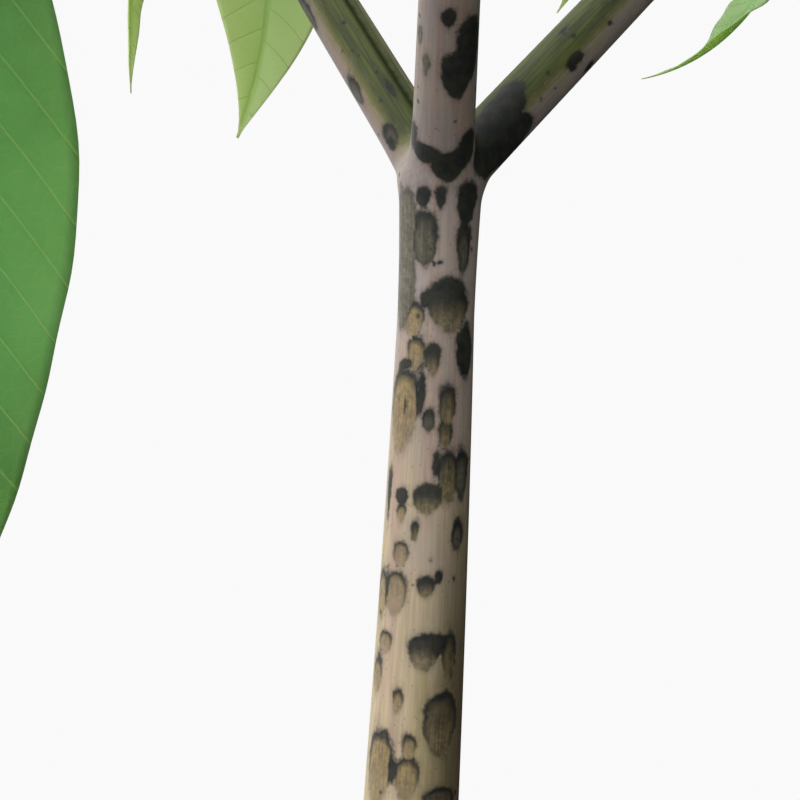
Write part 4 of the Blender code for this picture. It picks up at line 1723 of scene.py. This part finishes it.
@dataclass
class Fronds:
    """The six fronds: a winged rib each, with eleven leaflets."""

    arms: dict[Part, Arm]
    forks: dict[str, Fork]
    rib: Rib
    rows: int = 57
    columns: int = 23
    rib_sides: int = 28
    rib_rows: int = 8
    thickness: float = 0.42
    edge_thickness: float = 0.24
    fold: float = 0.22
    skew: float = 0.78
    point: float = 1.25
    least: float = 0.02
    droop: float = 0.55
    width_share: float = 0.215
    wave_height: float = 1.6
    waves: float = 2.2
    vein_spacing: float = 7.5
    quilting: float = 0.2
    finish: Finish = LeafBlade()

    def half_width(self, share: Array) -> Array:
        """A blade's half width at each share of its length, where 1 is its widest."""
        return np.hypot(np.sin(math.pi * share**self.skew) ** self.point, self.least)

    def build(self) -> None:
        """Makes all six fronds."""
        draw = random.Random(SEED)
        for name, fork in self.forks.items():
            points, faces, fields = self.frond(name, fork, draw)
            make_piece(f"frond_{name}_leafy", points, faces, self.finish, f"frond_{name}", fields)

    def frond(self, name: str, fork: Fork, draw: random.Random) -> tuple[Array, list, Fields]:
        """The rib and the leaflets of one frond.

        Args:
            name: the fork's name.
            fork: the fork that carries it.
            draw: the random draw.

        Returns:
            Points, faces and fields.
        """
        line = fork.line(self.arms[fork.arm])
        made = [self.rib_shape(line)]
        line = [Station(line[1].point + line[1].forward * GAP, line[1].forward, line[1].upper), *line[2:]]
        for number in range(len(LEAFLETS)):
            curve = self.leaflet(name, fork, number, line, draw)
            aim = AIMS.get((name, number))
            # An aimed leaflet is as pale as its painted backlight glow needs; the others grow paler towards the rib's
            # root, as younger leaflets
            youth_and_glow = aim.youth_and_glow if aim else max(0.9 - number * 0.13, 0)
            made.append(self.blade(curve, draw.uniform(0, math.tau), youth_and_glow))
        points, faces = joined((points, faces.tolist()) for points, faces, _ in made)
        return points, faces, {key: np.concatenate([fields[key] for *_, fields in made]) for key in ("blade", "side")}

    def leaflet(self, name: str, fork: Fork, number: int, line: list[Station], draw: random.Random) -> Curve:
        """The curve that a leaflet follows.

        Args:
            name: the fork's name.
            fork: the fork that carries it.
            number: which leaflet.
            line: the rib's stations.
            draw: the random draw.

        Returns:
            The curve.
        """
        share, leaf_side, spread, length = LEAFLETS[number]
        place = share * (len(line) - 1)
        low = min(int(place), len(line) - 2)
        station = line[low]
        base = station.point.lerp(line[low + 1].point, place - low)
        swing, sag, long = draw.uniform(-4, 4), draw.uniform(0.1, 0.3), draw.uniform(0.94, 1.06)
        tilt = Vector((draw.uniform(-0.15, 0.15), draw.uniform(-0.15, 0.15), 0))
        aim = AIMS.get((name, number))
        if aim:
            return Curve(base, Vector(aim.bend), Vector(aim.tip), Vector(aim.face), aim.half_width)
        turn = math.radians(leaf_side * fork.side * spread + swing)
        forward = Matrix.Rotation(turn, 3, station.upper) @ station.forward
        forward = (forward - Vector((0, 0, sag))).normalized()
        length *= long
        bend = base + forward * length * 0.5
        tip = bend + (forward * (1 - self.droop) + DOWN * self.droop).normalized() * length * 0.5
        return Curve(base, bend, tip, station.upper + tilt, length * self.width_share)

    def blade(self, curve: Curve, phase: float, youth_and_glow: float) -> tuple[Array, Array, Fields]:
        """A thin blade with a keeled midrib, quilted between its veins and waved along its edges.

        Args:
            curve: what it follows.
            phase: where its waves start.
            youth_and_glow: 0 for a full-grown blade, up to 1 for a pale one, whose paleness is its youth and painted
                backlight glow.

        Returns:
            Points, faces and fields.
        """
        base, bend, tip, side = (np.array(v) for v in (curve.base, curve.bend, curve.tip, curve.side))
        share = np.linspace(0, 1, self.rows)[:, None]
        middle = (1 - share) ** 2 * base + 2 * share * (1 - share) * bend + share**2 * tip
        forward = unit((1 - share) * (bend - base) + share * (tip - bend))
        upper = np.empty_like(forward)
        for i, way in enumerate(forward):
            side = side - way * side.dot(way)
            side = side / np.linalg.norm(side)
            upper[i] = side
        run = np.concatenate([[0], np.cumsum(np.linalg.norm(np.diff(middle, axis=0), axis=1))])[:, None]
        half = curve.half_width * self.half_width(share)
        c = np.linspace(-1, 1, self.columns)[None, :]
        out = np.abs(c)
        wave = self.wave_height * np.sin(math.tau * self.waves * share + phase + c) * half / curve.half_width
        frill = 0.25 * np.sin(math.tau * self.waves * 3.7 * share + 2 * phase + 2 * c) * out**4
        lift = (self.fold * half + wave) * (np.sqrt(out**2 + 0.01) - 0.1) + frill * half / curve.half_width
        turn = (run - 0.5 * (out * half) ** 1.25 + np.sign(c) * self.vein_spacing * 0.2) / self.vein_spacing
        quilt = self.quilting * np.abs(np.sin(math.pi * turn)) * np.minimum(out * half / 2, 1) * (1 - out**6)
        keel = 0.75 * (1 - share) ** 0.7 * hump(c * half, 0.9)
        sunk = 0.25 * hump(c * half, 0.8)
        thick = between(self.thickness, self.edge_thickness, out**2)
        heights = (lift + quilt - sunk + thick / 2, lift + quilt - keel - thick / 2)
        skins = [place_all(middle, np.cross(forward, upper), upper, half * c, y).reshape(-1, 3) for y in heights]
        place = np.stack([run + 0 * c, half * c, out + 0 * half], axis=-1).reshape(-1, 3)
        sides = np.repeat([[0.0, 0.0, youth_and_glow], [1.0, 0.0, youth_and_glow]], len(place), axis=0)
        fields = {"blade": np.concatenate([place, place]), "side": sides}
        return np.concatenate(skins), skin_faces(self.rows, self.columns), fields

    def rib_shape(self, line: list[Station]) -> tuple[Array, Array, Fields]:
        """The rib from just inside its root to its tip.

        Args:
            line: the fork's stations.

        Returns:
            Points, faces and fields.
        """
        steps, sides = len(line) - 1, self.rib_sides
        shares = np.linspace(0.86 / steps, 1, (steps - 1) * self.rib_rows)
        run = shares * steps
        middle = spline(np.array([s.point[:] for s in line]), run)
        upper = unit(spline(np.array([s.upper[:] for s in line]), run))
        forward = unit(np.gradient(middle, axis=0))
        upper = unit(upper - forward * (forward * upper).sum(axis=1, keepdims=True))
        angle = np.arange(sides) / sides * math.tau
        x, y = np.cos(angle), np.sin(angle)
        size = between(1, self.rib.tip_share, shares) * np.where(shares < 1.05 / steps, 0.985, 1)
        size[-3:] *= [0.9, 0.65, 0.2]
        flat = y * between(1, 0.55 + 0.45 * np.abs(y), ease((run - 1) / 2)[:, None])
        channel = 0.34 * hump(np.degrees(angle) - 90, 26) * ease((run - 1.2) / 1.5)[:, None]
        wide = (self.rib.half_width * size)[:, None] * x
        high = (self.rib.half_height * size)[:, None] * (flat - channel)
        points = place_all(middle, np.cross(forward, upper), upper, wide, high).reshape(-1, 3)
        faces = grid_faces(len(run), sides, wrap=True).tolist()
        last = len(points) - sides
        for i in range(sides // 2 - 1):  # the two ends, closed with quads from side to side
            j = sides - 1 - i
            faces += [(i, j, j - 1, i + 1), (last + i + 1, last + j - 1, last + j, last + i)]
        under = np.clip(0.5 - 1.2 * y, 0, 1)[None, :] + 0 * shares[:, None]
        mottle = np.clip(1.3 - 1.6 * shares, 0, 1)[:, None] * np.clip(0.7 - y, 0, 1)[None, :]
        side = np.stack([under, np.ones_like(under), mottle], axis=-1).reshape(-1, 3)
        return points, np.array(faces), {"blade": np.zeros_like(points), "side": side}


def spline(values: Array, at: Array) -> Array:
    """A smooth curve through rows of values.

    Args:
        values: the rows that it passes through.
        at: places along it, where 0 is the first row and 1 the second.

    Returns:
        One row per place.
    """
    low = np.clip(np.floor(at).astype(int), 0, len(values) - 2)
    t = (at - low)[:, None]
    before, here = values[np.maximum(low - 1, 0)], values[low]
    after, beyond = values[low + 1], values[np.minimum(low + 2, len(values) - 1)]
    second, third = 2 * before - 5 * here + 4 * after - beyond, 3 * here - before - 3 * after + beyond
    return 0.5 * (2 * here + (after - before) * t + second * t**2 + third * t**3)


# The picture


@dataclass
class Studio:
    """The pale floor, the soft light and the camera at the picture's place."""

    camera_place: Triple = (13.55, -500, 437)
    lens: float = 123
    sensor: float = 36
    nearest: float = 0.05
    floor_radius: float = 900
    floor_seen: str = "F2F1EF"
    floor_bounce: str = "666563"
    backdrop: float = 0.95
    dim_side: float = 0.015
    window: float = 1.25
    backlight: float = 0.8
    below: float = 0.3
    above: float = 1.4
    lamp_place: Triple = (-1100, -300, 1100)
    lamp_target: Triple = (15, 0, 380)
    lamp_size: float = 700
    lamp_power: float = 2

    def build(self) -> None:
        """Sets up floor, room light, lamp and camera."""
        self.lay_floor()
        self.light_room()
        self.hang_lamp()
        self.aim()

    def lay_floor(self) -> None:
        """Lays a round pale floor under the pot."""
        disc = bmesh.new()
        bmesh.ops.create_circle(disc, cap_ends=True, segments=96, radius=self.floor_radius * MM)
        mesh = bpy.data.meshes.new("floor")
        disc.to_mesh(mesh)
        disc.free()
        paper = bpy.data.materials.new("matt white backdrop paper")
        paper.use_nodes = True
        add = partial(add_node, paper.node_tree)
        shader = paper.node_tree.nodes["Principled BSDF"]
        fill(shader.inputs["Roughness"], 0.9)
        seen = add("LightPath").outputs["Is Camera Ray"]
        fill(shader.inputs["Base Color"], add("Mix RGBA", seen, self.floor_bounce, self.floor_seen))
        mesh.materials.append(paper)
        put("floor", mesh)

    def light_room(self) -> None:
        """Lights the room from a wide window at the left and a white backdrop behind; right and floor are dim."""
        world = bpy.data.worlds.new("studio")
        world.use_nodes = True
        bpy.context.scene.world = world
        add = partial(add_node, world.node_tree)
        x, y, z = add("SeparateXYZ", add("TexCoord").outputs["Generated"]).outputs
        left = add("MapRange SMOOTHSTEP", add("Math MULTIPLY_ADD", y, 0.35, x), 0.42, 0.02)
        behind = add("Math MULTIPLY_ADD", y, 0.8, 0, use_clamp=True)
        behind = add("Math MULTIPLY_ADD", behind, self.backlight, self.window)
        side = add("Math MULTIPLY_ADD", left, behind, self.dim_side)
        room = add("Math MULTIPLY", side, add("MapRange", z, -1, 1, self.below, self.above))
        level = add("Mix FLOAT", add("LightPath").outputs["Is Camera Ray"], room, self.backdrop)
        back = world.node_tree.nodes["Background"]
        fill(back.inputs["Color"], "FFFFFF")
        fill(back.inputs["Strength"], level)
        bpy.context.scene.view_settings.view_transform = "Standard"

    def hang_lamp(self) -> None:
        """Hangs one large soft lamp at the left above."""
        lamp = bpy.data.lights.new("key", "AREA")
        lamp.energy, lamp.size = self.lamp_power, self.lamp_size * MM
        holder = put("key", lamp)
        holder.location = Vector(self.lamp_place) * MM
        holder.rotation_mode = "QUATERNION"
        way = Vector(self.lamp_target) * MM - holder.location
        holder.rotation_quaternion = way.to_track_quat("-Z", "Y")

    def aim(self) -> None:
        """Sets the camera level, in front of the place where the stalk divides."""
        lens = bpy.data.cameras.new("camera")
        lens.lens, lens.sensor_width, lens.clip_start = self.lens, self.sensor, self.nearest
        camera = put("camera", lens)
        camera.location = Vector(self.camera_place) * MM
        camera.rotation_euler = (math.radians(90), 0, 0)
        bpy.context.scene.camera = camera


def dress_tuber(finish: Finish) -> None:
    """Gives the solid of the tuber, which lies hidden in the soil, its corky skin."""
    tuber = bpy.data.objects["tuber"]
    tuber.data.materials.clear()
    tuber.data.materials.append(finish.material())
    LOG.info("tuber: carried over, with a corky skin")


def main() -> None:
    """Builds the pot, the plant and the studio."""
    logging.basicConfig(level=logging.INFO, format="%(message)s")
    stalk = Stalk()
    right = {"root_swell": 0.02, "turn": -26, "green_turn": 10, "green_edge": 92, "deep": 0.45}
    # The front arm gets less painted shade than the other two
    arms = {
        Part.FRONT: Arm(stalk.hub, 272.5, 40, 80, 5.8, dusk=0.26),
        Part.RIGHT: Arm(stalk.hub, 22, 45, 84, 5.45, **right),
        Part.LEFT: Arm(stalk.hub, 127, 43, 82, 5.5, turn=6, green_turn=-38, green_edge=50),
    }
    forks = {
        "front_a": Fork(Part.FRONT, 1, 20, 46, -36),
        "front_b": Fork(Part.FRONT, -1, 18, 33, -66),
        "right_a": Fork(Part.RIGHT, 1, 20, 42, -26),
        "right_b": Fork(Part.RIGHT, -1, 20, 46, -42),
        "left_a": Fork(Part.LEFT, 1, 22, 60, -40),
        "left_b": Fork(Part.LEFT, -1, 20, 38, 2),
    }
    rib = Rib()
    roots = [ForkRoot(*fork.line(arms[fork.arm])[:2], rib, 1 / fork.steps) for fork in forks.values()]
    pot = Pot()
    pot.build()
    Soil(pot).build()
    dress_tuber(TuberSkin())
    Sheaths(stalk).build()
    Petiole(stalk, arms, roots).build()
    Fronds(arms, forks, rib).build()
    Studio().build()


if __name__ == "__main__":
    main()
